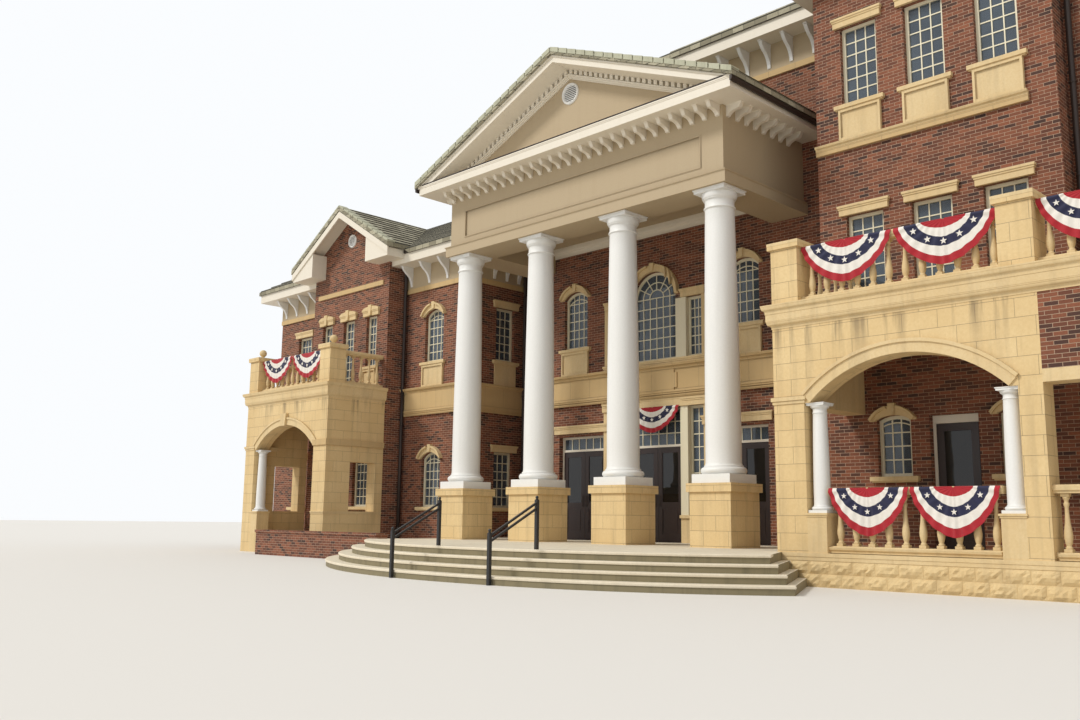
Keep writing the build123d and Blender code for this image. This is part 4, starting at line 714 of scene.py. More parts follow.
class Maker:
    """Collects the faces of one joined mesh."""

    def __init__(self) -> None:
        """Starts empty."""
        self.points: list[Vector] = []
        self.faces: list[tuple[int, ...]] = []
        self.smooth: list[bool] = []
        self.slots: list[int] = []
        self.slot = 0

    def add(self, corners: Iterable[int], smooth: bool) -> None:
        """One face over points that are there, in the current slot.

        Args:
            corners: Numbers of its points.
            smooth: Whether it is shaded smooth.
        """
        self.faces.append(tuple(corners))
        self.smooth.append(smooth)
        self.slots.append(self.slot)

    def grid(self, rows: Sequence[Sequence[Point]], closed: bool = False, smooth: bool = False) -> None:
        """Skin over rows of points.

        Args:
            rows: Rows of equally many points.
            closed: Whether each row joins its own ends.
            smooth: Whether the skin is shaded smooth.
        """
        base, wide = len(self.points), len(rows[0])
        self.points.extend(Vector(p) for row in rows for p in row)
        for r in range(len(rows) - 1):
            for c in range(wide if closed else wide - 1):
                a, b = base + r * wide + c, base + r * wide + (c + 1) % wide
                self.add((a, b, b + wide, a + wide), smooth)

    def face(self, ring: Sequence[Point]) -> None:
        """One flat face."""
        self.points.extend(Vector(p) for p in ring)
        self.add(range(len(self.points) - len(ring), len(self.points)), False)

    def tube(self, rows: Sequence[Sequence[Point]], smooth: bool = False) -> None:
        """Closed skin over rings of points with a flat face at both ends.

        Args:
            rows: The rings.
            smooth: Whether the skin is shaded smooth.
        """
        self.grid(rows, closed=True, smooth=smooth)
        self.face(rows[0])
        self.face(rows[-1])

    def push(self, ring: Sequence[Point], way: Point) -> None:
        """Prism made by pushing a flat ring a way."""
        near = [Vector(p) for p in ring]
        self.tube([near, [p + Vector(way) for p in near]])

    def box(self, low: Point, high: Point) -> None:
        """Box between two corners."""
        (x0, y0, z0), (x1, y1, z1) = low, high
        self.push([(x0, y0, z0), (x1, y0, z0), (x1, y1, z0), (x0, y1, z0)], (0, 0, z1 - z0))

    def plate(self, ring: Sequence[Pair], y: float, depth: float) -> None:
        """Upright plate over an outline of x and z."""
        self.push([(x, y, z) for x, z in ring], (0, depth, 0))

    def rim(self, low: Point, high: Point, wide: float, tall_sides: bool) -> None:
        """Upright frame of four boxes.

        Args:
            low: Its lowest corner.
            high: Its highest corner.
            wide: Width of its parts.
            tall_sides: Whether its uprights run the full height, or its levels the full width.
        """
        (x0, y0, z0), (x1, y1, z1) = low, high
        over, up = (wide, 0.0) if tall_sides else (0.0, wide)
        for x in (x0, x1 - wide):
            self.box((x, y0, z0 + up), (x + wide, y1, z1 - up))
        for z in (z0, z1 - wide):
            self.box((x0 + over, y0, z), (x1 - over, y1, z + wide))

    def nose(self, low: Vector, high: Vector, out: float, foot: float, head: float) -> None:
        """Ledge that stands out of a stone's outer face and both its ends.

        Args:
            low: The stone's lowest corner.
            high: Its highest corner.
            out: How far it stands out.
            foot: Height of the ledge's foot.
            head: Height of its head.
        """
        left, front, right, back = low.x - out, low.y - out, high.x + out, high.y + out
        if high.y - low.y < high.x - low.x:
            front, back = (low.y, back) if low.y > BACK_FROM else (front, high.y)
        else:
            left, right = (left, high.x) if low.x < LEFT_UNTIL else (low.x, right)
        self.box((left, front, foot), (right, back, head))

    def strip(self, line: Sequence[Pair], near: float, far: float, face: float, out: float) -> None:
        """Raised strip beside a line on a front wall.

        Args:
            line: The line's places in x and z.
            near: How far its one edge is to the line's left.
            far: How far its other edge is.
            face: The y of its back.
            out: How far it stands out.
        """
        rows, push = [], Vector((0, -out, 0))
        for i, (x, z) in enumerate(line):
            before, after = line[max(i - 1, 0)], line[min(i + 1, len(line) - 1)]
            way = Vector((after[0] - before[0], after[1] - before[1])).normalized()
            a, b = (Vector((x - way.y * reach, face, z + way.x * reach)) for reach in (near, far))
            rows.append([a, b, b + push, a + push])
        self.tube(rows)

    def turned(self, outline: Sequence[Pair], foot: Point, sides: int = 48) -> None:
        """Turned piece about an upright line.

        Args:
            outline: Radius and height of each ring, from the foot up.
            foot: The middle of its foot.
            sides: Points in a ring.
        """
        x, y, z = foot
        turns = [2 * math.pi * i / sides for i in range(sides)]
        rows = [[(x + r * math.cos(t), y + r * math.sin(t), z + h) for t in turns] for r, h in outline]
        self.tube(rows, smooth=True)

    def swept(self, outline: Sequence[Pair], path: Sequence[Pair]) -> None:
        """Moulding along a level run with mitred corners.

        Args:
            outline: Reach to the right of the path and height of each point of its section.
            path: Plan corners of the run.
        """
        ways = [Vector((c - a, d - b)).normalized() for (a, b), (c, d) in zip(path, path[1:])]
        rows = []
        for (x, y), first, second in zip(path, [ways[0], *ways], [*ways, ways[-1]]):
            out = Vector((first.y + second.y, -first.x - second.x)) / (1 + first.dot(second))
            rows.append([(x + out.x * reach, y + out.y * reach, z) for reach, z in outline])
        self.tube(rows)

    def build(
        self, name: str, *materials: bpy.types.Material, bevel: float = 0.0, body: str = "root",
    ) -> bpy.types.Object:
        """Makes the object and rides it on a body.

        Args:
            name: The piece's name.
            materials: Its finishes, one for each slot.
            bevel: Width of its softened edges.
            body: The CAD body it moves with.

        Returns:
            The object.
        """
        mesh = bpy.data.meshes.new(name)
        mesh.from_pydata([tuple(p) for p in self.points], [], self.faces)
        mesh.polygons.foreach_set("use_smooth", self.smooth)
        mesh.polygons.foreach_set("material_index", self.slots)
        work = bmesh.new()
        work.from_mesh(mesh)
        bmesh.ops.remove_doubles(work, verts=work.verts, dist=SAME)
        bmesh.ops.recalc_face_normals(work, faces=work.faces)
        work.to_mesh(mesh)
        work.free()
        for material in materials:
            mesh.materials.append(material)
        thing = bpy.data.objects.new(name, mesh)
        bpy.context.scene.collection.objects.link(thing)
        if bevel:
            soften = thing.modifiers.new("Edges", "BEVEL")
            soften.width, soften.segments, soften.limit_method = bevel, 2, "ANGLE"
            soften.harden_normals = False
        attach(thing, body)
        LOG.info("%s: %d faces", name, len(mesh.polygons))
        return thing


def islands(node: str) -> list[list[Vector]]:
    """Points of each separate solid of a CAD node.

    Args:
        node: The node's name.

    Returns:
        One list of points for each solid.
    """
    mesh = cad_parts[node].data
    home: dict[tuple[int, ...], int] = {}
    key = [home.setdefault(tuple(round(c * 10000) for c in v.co), len(home)) for v in mesh.vertices]
    parent = list(range(len(home)))

    def root(i: int) -> int:
        """First point of the solid that a point belongs to.

        Args:
            i: The point.

        Returns:
            The first point.
        """
        while parent[i] != i:
            parent[i] = parent[parent[i]]
            i = parent[i]
        return i

    for polygon in mesh.polygons:
        first = root(key[polygon.vertices[0]])
        for v in polygon.vertices[1:]:
            parent[root(key[v])] = first
    found: dict[int, list[Vector]] = {}
    for v, k in zip(mesh.vertices, key):
        found.setdefault(root(k), []).append(v.co.copy())
    return list(found.values())


def extent(points: Sequence[Vector]) -> tuple[Vector, Vector]:
    """Lowest and highest corner of some points."""
    low, high = (Vector(tuple(pick(p[i] for p in points) for i in range(3))) for pick in (min, max))
    return low, high


def boxes(node: str) -> list[tuple[Vector, Vector]]:
    """Lowest and highest corner of each solid of a CAD node."""
    return [extent(points) for points in islands(node)]


@dataclass
class Piece:
    """A dressed piece that is one joined mesh.

    Attributes:
        name: Its name.
        node: The CAD node that it is read from.
        finish: Its finish.
        maker: Collects its faces.
        more: Finishes of its further slots.
        soft: Width of its softened edges.
        stands_in: Whether it replaces its node.
    """

    name: str
    _: KW_ONLY
    node: str = ""
    finish: Finish = Finish.CAST
    maker: Maker = field(default_factory=Maker, init=False)
    more: ClassVar[tuple[Finish, ...]] = ()
    soft: ClassVar[float] = 0.0
    stands_in: ClassVar[bool] = False

    def fill(self) -> None:
        """Collects its faces."""
        raise NotImplementedError

    def build(self, paint: Paintbox) -> None:
        """Makes it.

        Args:
            paint: Hands out the materials.
        """
        self.fill()
        materials = [paint[finish] for finish in (self.finish, *self.more)]
        thing = self.maker.build(self.name, *materials, bevel=self.soft)
        if self.stands_in:
            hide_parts(self.node)


def scroll_outline(depth: float, height: float) -> list[Pair]:
    """Side view of a scrolled bracket, its top back corner at the origin.

    Args:
        depth: How far it stands out.
        height: How far it hangs down.

    Returns:
        Reach out of the wall and height of each point.
    """
    steps, nose = 7, min(depth * 0.3, height * 0.45)
    points = [(0.0, 0.0), (depth, 0.0)]
    for i in range(steps + 1):
        turn = math.pi * i / steps
        reach = depth - nose / 2 + nose / 2 * math.cos(turn / 1.4)
        points.append((reach, -nose * 0.1 - nose / 2 + nose / 2 * math.cos(turn)))
    for i in range(steps + 1):
        part = i / steps
        reach = (depth - nose) * (1 - part) ** 1.6 + depth * 0.12
        sag = math.sin(part * math.pi) * 0.16 * height
        points.append((reach, -nose - (height - nose * 1.1) * part ** 0.75 + sag))
    return [*points, (0.0, -height)]


@dataclass
class Brackets(Piece):
    """Scrolled brackets in place of plain blocks, turned the way each block stands.

    Attributes:
        cap: Height of the flat cap on each.
        deep_share: Depth of the scroll below it as a share of the block's.
        inset: How far the scroll stays off the block's sides, as a share of its width.
    """

    cap: float
    deep_share: float = 0.94
    inset: float = 0.08
    soft = 0.004
    stands_in = True

    def fill(self) -> None:
        """Collects every bracket."""
        for points in islands(self.node):
            low, high = extent(points)
            size = high - low
            foot = [p.x for p in points if p.z < low.z + 0.02]
            if size.x < size.y:
                way, across, root = Vector((0, -1, 0)), Vector((1, 0, 0)), Vector((low.x, high.y, high.z))
            else:
                side = 1 if sum(foot) / len(foot) < (low.x + high.x) / 2 else -1
                way, across = Vector((side, 0, 0)), Vector((0, 1, 0))
                root = Vector((low.x if side > 0 else high.x, low.y, high.z))
            wide, deep = sorted((size.x, size.y))
            scroll = scroll_outline(deep * self.deep_share, size.z - self.cap)
            cap = [(0, 0), (deep, 0), (deep, -self.cap), (0, -self.cap)]
            for outline, inset, drop in ((scroll, self.inset, self.cap), (cap, 0.0, 0.0)):
                start = root + across * wide * inset - Vector((0, 0, drop))
                ring = [start + way * r + Vector((0, 0, h)) for r, h in outline]
                self.maker.push(ring, across * wide * (1 - 2 * inset))


def column_outline(foot: float, neck: float, height: float, cap_half: float) -> list[Pair]:
    """Radius and height of the rings of a turned column between its plinth and its square cap.

    Args:
        foot: Radius of the shaft's foot.
        neck: Radius of its neck.
        height: Height of the turned part.
        cap_half: Half the width of the square cap.

    Returns:
        The rings from the foot up.
    """
    bulge, ring = foot * 0.2, neck * 0.07
    top, start = 2 * bulge, 2 * bulge + foot * 0.25
    end = height - neck * 0.26 * 1.9
    at = end - neck * 0.62
    turns = [math.pi * (i / 10 - 0.5) for i in range(11)]
    rings = [(foot * 1.08 + bulge * math.cos(t), bulge + bulge * math.sin(t)) for t in turns]
    rings += [(foot * 1.09, top), (foot * 1.09, top + foot * 0.07), (foot * 1.03, top + foot * 0.12)]
    rings.append((foot, start))
    for i in range(1, 15):
        part = i / 14
        swell = foot - (foot - neck) * max(0.0, (part - 0.12) / 0.88) ** 1.5
        rings.append((swell, start + (at - start) * part))
    rings += [(neck + ring * out, at + ring * up) for out, up in ((1, 0.2), (1.3, 1), (1, 1.8), (0, 2))]
    rings += [(neck + ring * out, end + ring * up) for out, up in ((0, 0), (0.8, 0), (0.8, 0.7), (1.5, 0.7))]
    for i in range(7):
        turn = math.pi / 2 * i / 6
        out = neck + ring * 1.5 + (cap_half * 0.97 - neck - ring * 1.5) * math.sin(turn)
        rings.append((out, end + ring * 1.5 + (height - end - ring * 1.5) * (1 - math.cos(turn))))
    return rings


@dataclass
class Columns(Piece):
    """Turned columns in place of faceted ones.

    Attributes:
        foot: Radius of the shaft's foot.
        neck: Radius of its neck.
        plinth: Height of the square plinth.
        cap_half: Half the width of the square cap.
        cap: Its height.
    """

    foot: float
    neck: float
    plinth: float
    cap_half: float
    cap: float
    soft = 0.003
    stands_in = True

    def fill(self) -> None:
        """Collects every column."""
        for low, high in boxes(self.node):
            x, y = (low.x + high.x) / 2, (low.y + high.y) / 2
            height, lip = high.z - low.z - self.plinth - self.cap, self.cap * 0.3
            outline = column_outline(self.foot, self.neck, height, self.cap_half)
            self.maker.turned(outline, (x, y, low.z + self.plinth))
            for half, foot, head in (
                (max(high.x - x, high.y - y), low.z, low.z + self.plinth),
                (self.cap_half, high.z - self.cap, high.z - lip),
                (self.cap_half + lip * 0.8, high.z - lip, high.z),
            ):
                self.maker.box((x - half, y - half, foot), (x + half, y + half, head))


@dataclass
class Pane:
    """One sheet of glass read from its node.

    Attributes:
        face: The wall that it lies in, at the glass's outer face.
        start: Where it begins along the wall.
        end: Where it ends along the wall.
        sill: Height of its foot.
        head: Along and up places of its upper edge.
    """

    face: WallFace
    start: float
    end: float
    sill: float
    head: list[Pair]

    @property
    def spring(self) -> float:
        """Height where its upper edge leaves the sides."""
        return min(self.head[0][1], self.head[-1][1])

    @property
    def top(self) -> float:
        """Its highest point."""
        return max(height for _, height in self.head)

    def height_at(self, along: float, drop: float = 0.0) -> float:
        """Height of its upper edge.

        Args:
            along: The place along the wall.
            drop: How far below the edge.

        Returns:
            The height there.
        """
        for (a, low), (b, high) in zip(self.head, self.head[1:]):
            if a <= along <= b:
                return low + (high - low) * (along - a) / max(b - a, 1e-6) - drop
        return self.spring - drop


def read_panes() -> list[Pane]:
    """Every sheet of glass of the windows.

    Returns:
        The panes in the order of the CAD node.
    """
    found = []
    for points in islands("window_glass"):
        low, high = extent(points)
        size = high - low
        axis = 0 if size.y < size.x else 1
        if axis == 0:
            side = Side.BACK if low.y > BACK_FROM else Side.FRONT
        else:
            side = Side.LEFT if low.x < LEFT_UNTIL else Side.RIGHT
        at = (low if side.value[1] < 0 else high)[1 - axis]
        edge = {(round(p[axis], 4), round(p.z, 4)) for p in points}
        head = sorted(place for place in edge if place[1] > low.z + size.z * 0.5)
        found.append(Pane(WallFace(side, at), low[axis], high[axis], low.z, head))
    return found


@dataclass
class GlazingBars(Piece):
    """Bars of all windows.

    Attributes:
        width: Face width of a bar.
        proud: How far bars stand out of the glass.
        light: Usual width and height of a light.
        low_light: Height of a light in a low window.
        low: Height below which a window is low.
        tall: Height above which a slim one has more rows.
        slim: Width below which a window is slim.
        wide: Width from which it has four columns.
        full_arch: Rise from which an arch has a sunburst.
        rings: Share of the arch's size of both half-round bars.
    """

    width: float = 0.024
    proud: float = 0.016
    light: float = 0.27
    low_light: float = 0.26
    low: float = 1.0
    tall: float = 2.0
    slim: float = 0.5
    wide: float = 0.72
    full_arch: float = 0.4
    rings: Pair = (0.36, 0.68)

    def bar(self, pane: Pane, first: Pair, second: Pair, share: float = 1.0) -> None:
        """One straight bar.

        Args:
            pane: The glass it lies on.
            first: Along and up place of its one end.
            second: Along and up place of its other end.
            share: Share of the usual thickness.
        """
        way = Vector((second[0] - first[0], second[1] - first[1]))
        if way.length < 0.02:
            return
        side = Vector((-way.y, way.x)).normalized() * self.width / 2
        corners = ((first, 1), (second, 1), (second, -1), (first, -1))
        ring = [(a + side.x * s, h + side.y * s) for (a, h), s in corners]
        near = [pane.face.point(a, 0.0, h) for a, h in ring]
        self.maker.push(near, pane.face.point(ring[0][0], self.proud * share, ring[0][1]) - near[0])

    def curve(self, pane: Pane, points: Sequence[Pair]) -> None:
        """A chain of short bars."""
        for first, second in zip(points, points[1:]):
            self.bar(pane, first, second, 1.1)

    def upright(self, pane: Pane, columns: int, top: Callable[[float], float]) -> None:
        """Evenly spaced upright bars.

        Args:
            pane: The glass they lie on.
            columns: How many columns they part it into.
            top: Height that a bar reaches at its place.
        """
        for i in range(1, columns):
            along = pane.start + (pane.end - pane.start) * i / columns
            self.bar(pane, (along, pane.sill), (along, top(along)))

    def level(self, pane: Pane, rows: int, top: float) -> None:
        """Evenly spaced level bars, none of them at the head itself.

        Args:
            pane: The glass they lie on.
            rows: How many rows they make.
            top: Height of the last row's upper edge.
        """
        for i in range(1, rows + 1):
            height = pane.sill + (top - pane.sill) * i / rows
            if height < pane.spring + 0.005 and height < pane.top - 0.03:
                self.bar(pane, (pane.start, height), (pane.end, height), 0.9)

    def sunburst(self, pane: Pane) -> None:
        """Half-round bars with rays in a fully arched head.

        Args:
            pane: The glass they lie on.
        """
        middle, half = (pane.start + pane.end) / 2, (pane.end - pane.start) / 2
        rise = pane.top - pane.spring

        def place(part: float, turn: float) -> Pair:
            """Along and up place at a share of the arch's size."""
            return middle - half * part * math.cos(turn), pane.spring + rise * part * math.sin(turn)

        for part in self.rings:
            self.curve(pane, [place(part, math.pi * i / 24) for i in range(25)])
        for i in range(1, 6):
            self.bar(pane, place(self.rings[0], math.pi * i / 6), place(0.99, math.pi * i / 6))

    def fill(self) -> None:
        """Chooses and collects the bars of each pane by its size and shape."""
        for pane in read_panes():
            wide, tall, arched = pane.end - pane.start, pane.top - pane.sill, len(pane.head) > 2
            if arched and pane.top - pane.spring > self.full_arch:
                self.upright(pane, 6, lambda _: pane.spring)
                self.level(pane, round((pane.spring - pane.sill) / self.light), pane.spring)
                self.sunburst(pane)
                continue
            if tall < self.low:
                columns, rows = max(3, round(wide / self.light)), max(1, round(tall / self.low_light))
            elif wide < self.slim:
                columns, rows = (2, 8) if tall > self.tall else (3, 6)
            else:
                columns, rows = 3 if wide < self.wide else 4, max(3, round(tall / self.light))
            if arched:
                drop = 0.13 if tall > 1.2 else 0.07
                marks = [pane.start + wide * i / 12 for i in range(13)]
                self.curve(pane, [(a, pane.height_at(a, drop)) for a in marks])
            self.upright(pane, columns, pane.height_at if arched else lambda _: pane.top)
            self.level(pane, rows, pane.top)


@dataclass
class DoorLeaf:
    """One glazed leaf in place of its CAD node, riding on its door body.

    Attributes:
        node: The leaf's CAD node.
        stile: Width of its stiles.
        thick: Its thickness.
        bead: Width of the beads round its panel and its glass.
        light_foot: Height of the glass's foot above the leaf's foot.
        panel_foot: Height of the lower panel's foot.
        panel_head: Height of its head.
        gaps: Clearance at the leaf's foot and head.
        glass: How far behind the leaf's face its glass begins and ends.
        grip: Height of the pull's foot and head above the leaf's foot.
    """

    node: str
    stile: float = 0.13
    thick: float = 0.046
    bead: float = 0.014
    light_foot: float = 1.0
    panel_foot: float = 0.2
    panel_head: float = 0.85
    gaps: Pair = (0.008, 0.0077)
    glass: Pair = (0.018, 0.026)
    grip: Pair = (0.92, 1.2)

    def __post_init__(self) -> None:
        """Reads the leaf's place and names its body."""
        self.low, self.high = boxes(self.node)[0]
        self.body = self.node.replace("_leaf", "_door")

    def build(self, paint: Paintbox) -> None:
        """Makes the leaf, its glass and its pull.

        Args:
            paint: Hands out the materials.
        """
        x0, x1 = self.low.x, self.high.x
        foot, head = self.low.z + self.gaps[0], self.high.z - self.gaps[1]
        y0, y1 = self.low.y, self.low.y + self.thick
        left, right = x0 + self.stile, x1 - self.stile
        light = foot + self.light_foot, head - self.stile
        panel = foot + self.panel_foot, foot + self.panel_head
        maker = Maker()
        for start, end in ((x0, left), (right, x1)):
            maker.box((start, y0, foot), (end, y1, head))
        for start, end in ((foot, panel[0]), (panel[1], light[0]), (light[1], head)):
            maker.box((left, y0 + 0.0005, start), (right, y1 - 0.0005, end))
        maker.box((left, y0 + 0.014, panel[0]), (right, y1 - 0.014, panel[1]))
        maker.box((left + 0.05, y0 + 0.006, panel[0] + 0.05), (right - 0.05, y0 + 0.014, panel[1] - 0.05))
        for start, end in (panel, light):
            for x in (left, right - self.bead):
                maker.box((x, y0 + 0.004, start), (x + self.bead, y0 + 0.016, end))
            for z in (start, end - self.bead):
                maker.box((left, y0 + 0.004, z), (right, y0 + 0.016, z + self.bead))
        joinery = self.node.replace("_leaf", "_joinery")
        leaf = maker.build(joinery, paint[Finish.DOOR], bevel=0.0025, body=self.body)
        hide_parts(self.node)
        glass = Maker()
        front, back = (y0 + deep for deep in self.glass)
        glass.box((left + 0.001, front, light[0]), (right - 0.001, back, light[1]))
        glass.build(self.node.replace("_leaf", "_light"), paint[Finish.DOOR_GLASS], body=self.body)
        hung_left = "left_leaf" in self.node or "porch" in self.node
        x = x1 - self.stile / 2 if hung_left else x0 + self.stile / 2
        pull = self.pull(x, y0, *(foot + height for height in self.grip))
        pull.build(self.node.replace("_leaf", "_pull"), paint[Finish.BRONZE], body=self.body)

    @staticmethod
    def pull(x: float, y: float, foot: float, head: float) -> Maker:
        """Upright pull and lock plate on the meeting stile.

        Args:
            x: The middle of the stile.
            y: The leaf's face.
            foot: Height of the pull's foot.
            head: Height of its head.

        Returns:
            Its faces.
        """
        maker, steps, across = Maker(), 8, Vector((1, 0, 0))
        maker.box((x - 0.02, y - 0.003, foot - 0.03), (x + 0.02, y, head + 0.03))
        line = [(x, y - 0.003, foot), (x, y - 0.03, foot + 0.012)]
        line += [(x, y - 0.034, foot + 0.03 + (head - foot - 0.06) * i / steps) for i in range(steps + 1)]
        line += [(x, y - 0.03, head - 0.012), (x, y - 0.003, head)]
        places, rows = [Vector(place) for place in line], []
        for i, place in enumerate(places):
            way = (places[min(i + 1, len(line) - 1)] - places[max(i - 1, 0)]).normalized()
            up = way.cross(across).normalized()
            turns = [2 * math.pi * k / 10 for k in range(10)]
            rows.append([place + 0.007 * (across * math.cos(t) + up * math.sin(t)) for t in turns])
        maker.tube(rows, smooth=True)
        return maker


@dataclass
class Fan:
    """One pleated half-round fan of striped cloth with small stars.

    Attributes:
        low: Its lowest corner.
        high: Its highest corner.
        pleats: Pleats in it.
        depth: How far a pleat stands out at the rim.
        stars: Stars along the dark band.
        fullness: 1 is a plain half oval, more draws its sides in towards straight lines.
        star: A star's radius as a share of the fan's width.
        star_place: Reach across and down of the stars' middles.
        bands: Reach across and down of each stripe's outer edge and its slot.
    """

    low: Vector
    high: Vector
    pleats: int = 11
    depth: float = 0.018
    stars: int = 5
    fullness: float = 1.22
    star: float = 0.036
    star_place: Pair = (0.655, 0.5)
    bands: tuple[tuple[float, float, int], ...] = (
        (0.44, 0.2, 0), (0.53, 0.4, 1), (0.78, 0.6, 2), (0.89, 0.82, 1), (1.0, 1.0, 0),
    )

    def surface(self, turn: float, across: float, down: float) -> Vector:
        """A point of its cloth.

        Args:
            turn: The turn round its upper middle, from the left end.
            across: Share of its half width.
            down: Share of its drop.

        Returns:
            The point.
        """
        (x0, y0, z0), (x1, y1, z1) = self.low, self.high
        fold = self.depth * (across + down) / 2 * math.cos(2 * self.pleats * turn)
        sag = 0.012 * (across + down) / 2 * math.sin(turn) ** 2
        swing = math.copysign(abs(math.cos(turn)) ** self.fullness, math.cos(turn))
        fall = abs(math.sin(turn)) ** self.fullness * (z1 - z0 - 0.004)
        x = (x0 + x1) / 2 - swing * (x1 - x0) / 2 * across
        return Vector((x, (y0 + y1) / 2 + fold - sag * 0.2, z1 - 0.002 - fall * down))

    def cloth(self) -> Maker:
        """Its stripes as rings of faces.

        Returns:
            The faces.
        """
        maker, steps, before = Maker(), self.pleats * 8, (0.03, 0.02)
        turns = [math.pi * i / steps for i in range(steps + 1)]
        for across, down, slot in self.bands:
            maker.slot, rows = slot, []
            for part in (0.0, 0.25, 0.5, 0.75, 1.0):
                reach, fall = (a + (b - a) * part for a, b in zip(before, (across, down)))
                rows.append([self.surface(turn, reach, fall) for turn in turns])
            maker.grid(rows, smooth=True)
            before = (across, down)
        return maker

    def star_mesh(self) -> Maker:
        """Its stars, a hair in front of the cloth.

        Returns:
            The faces.
        """
        maker, radius = Maker(), (self.high.x - self.low.x) * self.star
        for i in range(self.stars):
            turn = math.pi * (0.13 + 0.74 * i / (self.stars - 1))
            pleat = round(turn * self.pleats / math.pi - 0.5)
            middle = self.surface((pleat + 0.5) * math.pi / self.pleats, *self.star_place)
            ring = []
            for k in range(10):
                spread, lean = radius * (0.42 if k % 2 else 1.0), math.pi * k / 5
                ring.append((middle.x + spread * math.sin(lean), middle.z + spread * math.cos(lean)))
            maker.plate(ring, middle.y - 0.0035, 0.002)
        return maker


class Bunting:
    """Every fan, each a hung sheet with its stars."""

    def build(self, paint: Paintbox) -> None:
        """Makes them.

        Args:
            paint: Hands out the materials.
        """
        stripes = [paint[finish] for finish in (Finish.RED, Finish.PALE, Finish.NAVY)]
        for number, (low, high) in enumerate(boxes("bunting"), 1):
            if high.z < 3.0:
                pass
            elif high.z < 5.0:
                low, high = Vector((-0.865, low.y, 3.4)), Vector((0.865, high.y, 4.08))
            fan = Fan(low, high)
            cloth = fan.cloth().build(f"bunting_fan_{number}", *stripes)
            stars = fan.star_mesh().build(f"bunting_stars_{number}", paint[Finish.PALE])
            if number == 1:
                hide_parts("bunting")


@dataclass
class RoofCourses(Piece):
    """Overlapping tile courses laid over the slopes of a roof node.

    Attributes:
        rise: Height between two courses.
        butt: How far the lower edge of a course stands off the slope.
        gap: How far its upper edge does.
    """

    rise: float
    butt: float = 0.032
    gap: float = 0.004
    # the second slot is painted shade on the upright foot of each course
    more = (Finish.TILE_BUTT_SHADE,)

    def slopes(self) -> list[list[Vector]]:
        """Outlines of the sloping faces.

        Returns:
            The corners of each.
        """
        work = bmesh.new()
        work.from_mesh(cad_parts[self.node].data)
        bmesh.ops.remove_doubles(work, verts=work.verts, dist=SAME)
        found = [[v.co.copy() for v in face.verts] for face in work.faces if 0.8 < face.normal.z < 0.97]
        work.free()
        return found

    @staticmethod
    def cut(ring: list[Vector], height: float, above: bool) -> list[Vector]:
        """Part of a flat outline above or below a height.

        Args:
            ring: The outline.
            height: The height.
            above: Whether the part above it is kept.

        Returns:
            The part's outline.
        """
        kept: list[Vector] = []
        for point, after in zip(ring, ring[1:] + ring[:1]):
            if (point.z >= height) == above:
                kept.append(point)
            if (point.z - height) * (after.z - height) < 0:
                kept.append(point.lerp(after, (height - point.z) / (after.z - point.z)))
        return kept

    def fill(self) -> None:
        """Collects each course of each slope and the upright face at its foot, which is painted dark as the
        shade under the course.
        """
        for ring in self.slopes():
            heights = [p.z for p in ring]
            for number in range(math.floor(min(heights) / self.rise), math.ceil(max(heights) / self.rise)):
                bottom, top = number * self.rise, (number + 1) * self.rise
                strip = self.cut(self.cut(ring, bottom + 1e-7, True), top - 1e-7, False)
                if len(strip) < 3:
                    continue
                lifts = [self.gap + self.butt * max(0.0, 1 - (p.z - bottom) / self.rise) for p in strip]
                self.maker.face([p + Vector((0, 0, lift)) for p, lift in zip(strip, lifts)])
                foot = sorted((p for p in strip if p.z < bottom + 1e-4), key=lambda p: (p.x, p.y))
                if len(foot) >= 2:
                    a, b, rise = foot[0], foot[-1], Vector((0, 0, self.gap + self.butt))
                    # slot 1: painted shade on the course's foot
                    self.maker.slot = 1
                    self.maker.face([a, b, b + rise, a + rise])
                    self.maker.slot = 0


@dataclass
class Balusters(Piece):
    """Turned balusters between moulded rails in place of plain ones.

    Attributes:
        pitch: Distance between two.
        block: Half the width and the height of the square blocks at its ends.
        marks: Radius and share of the height of each ring of one.
        rail: Share of the half thickness and of the height of each point of a rail's section.
    """

    pitch: float = 0.3
    block: Pair = (0.06, 0.05)
    marks: ClassVar[tuple[Pair, ...]] = (
        (0.052, 0.0), (0.052, 0.03), (0.04, 0.045), (0.036, 0.06), (0.05, 0.11), (0.062, 0.2),
        (0.064, 0.27), (0.056, 0.36), (0.04, 0.5), (0.031, 0.66), (0.029, 0.8), (0.042, 0.84),
        (0.042, 0.87), (0.03, 0.9), (0.034, 0.94), (0.052, 0.97), (0.052, 1.0),
    )
    rail: ClassVar[tuple[Pair, ...]] = (
        (-1, 0.35), (-1, 0.82), (-0.86, 1.0), (0.86, 1.0), (1, 0.82), (1, 0.35), (0.8, 0.22), (0.8, 0.0),
        (-0.8, 0.0), (-0.8, 0.22),
    )
    soft = 0.004
    stands_in = True

    def fill(self) -> None:
        """Collects the balusters and both rails of each run."""
        b, t = self.block
        for points in islands(self.node):
            low, high = extent(points)
            size = high - low
            axis = 0 if size.x > size.y else 1
            middle, half = (low[1 - axis] + high[1 - axis]) / 2, size[1 - axis] / 2
            levels = sorted({round(p.z, 3) for p in points})
            foot, top = levels[1], levels[-2]
            count = max(2, round(size[axis] / self.pitch))
            for i in range(count):
                place = low[axis] + size[axis] * (i + 0.5) / count
                x, y = (place, middle) if axis == 0 else (middle, place)
                for bottom in (foot, top - t):
                    self.maker.box((x - b, y - b, bottom), (x + b, y + b, bottom + t))
                rings = [(r, h * (top - foot - 2 * t)) for r, h in self.marks]
                self.maker.turned(rings, (x, y, foot + t), sides=16)
            for bottom, tall in ((top, high.z - top), (low.z, foot - low.z)):
                rows = [[(end, middle + r * half, bottom + h * tall) for r, h in self.rail]
                        for end in (low[axis], high[axis])]
                self.maker.tube([[p if axis == 0 else (p[1], p[0], p[2]) for p in row] for row in rows])


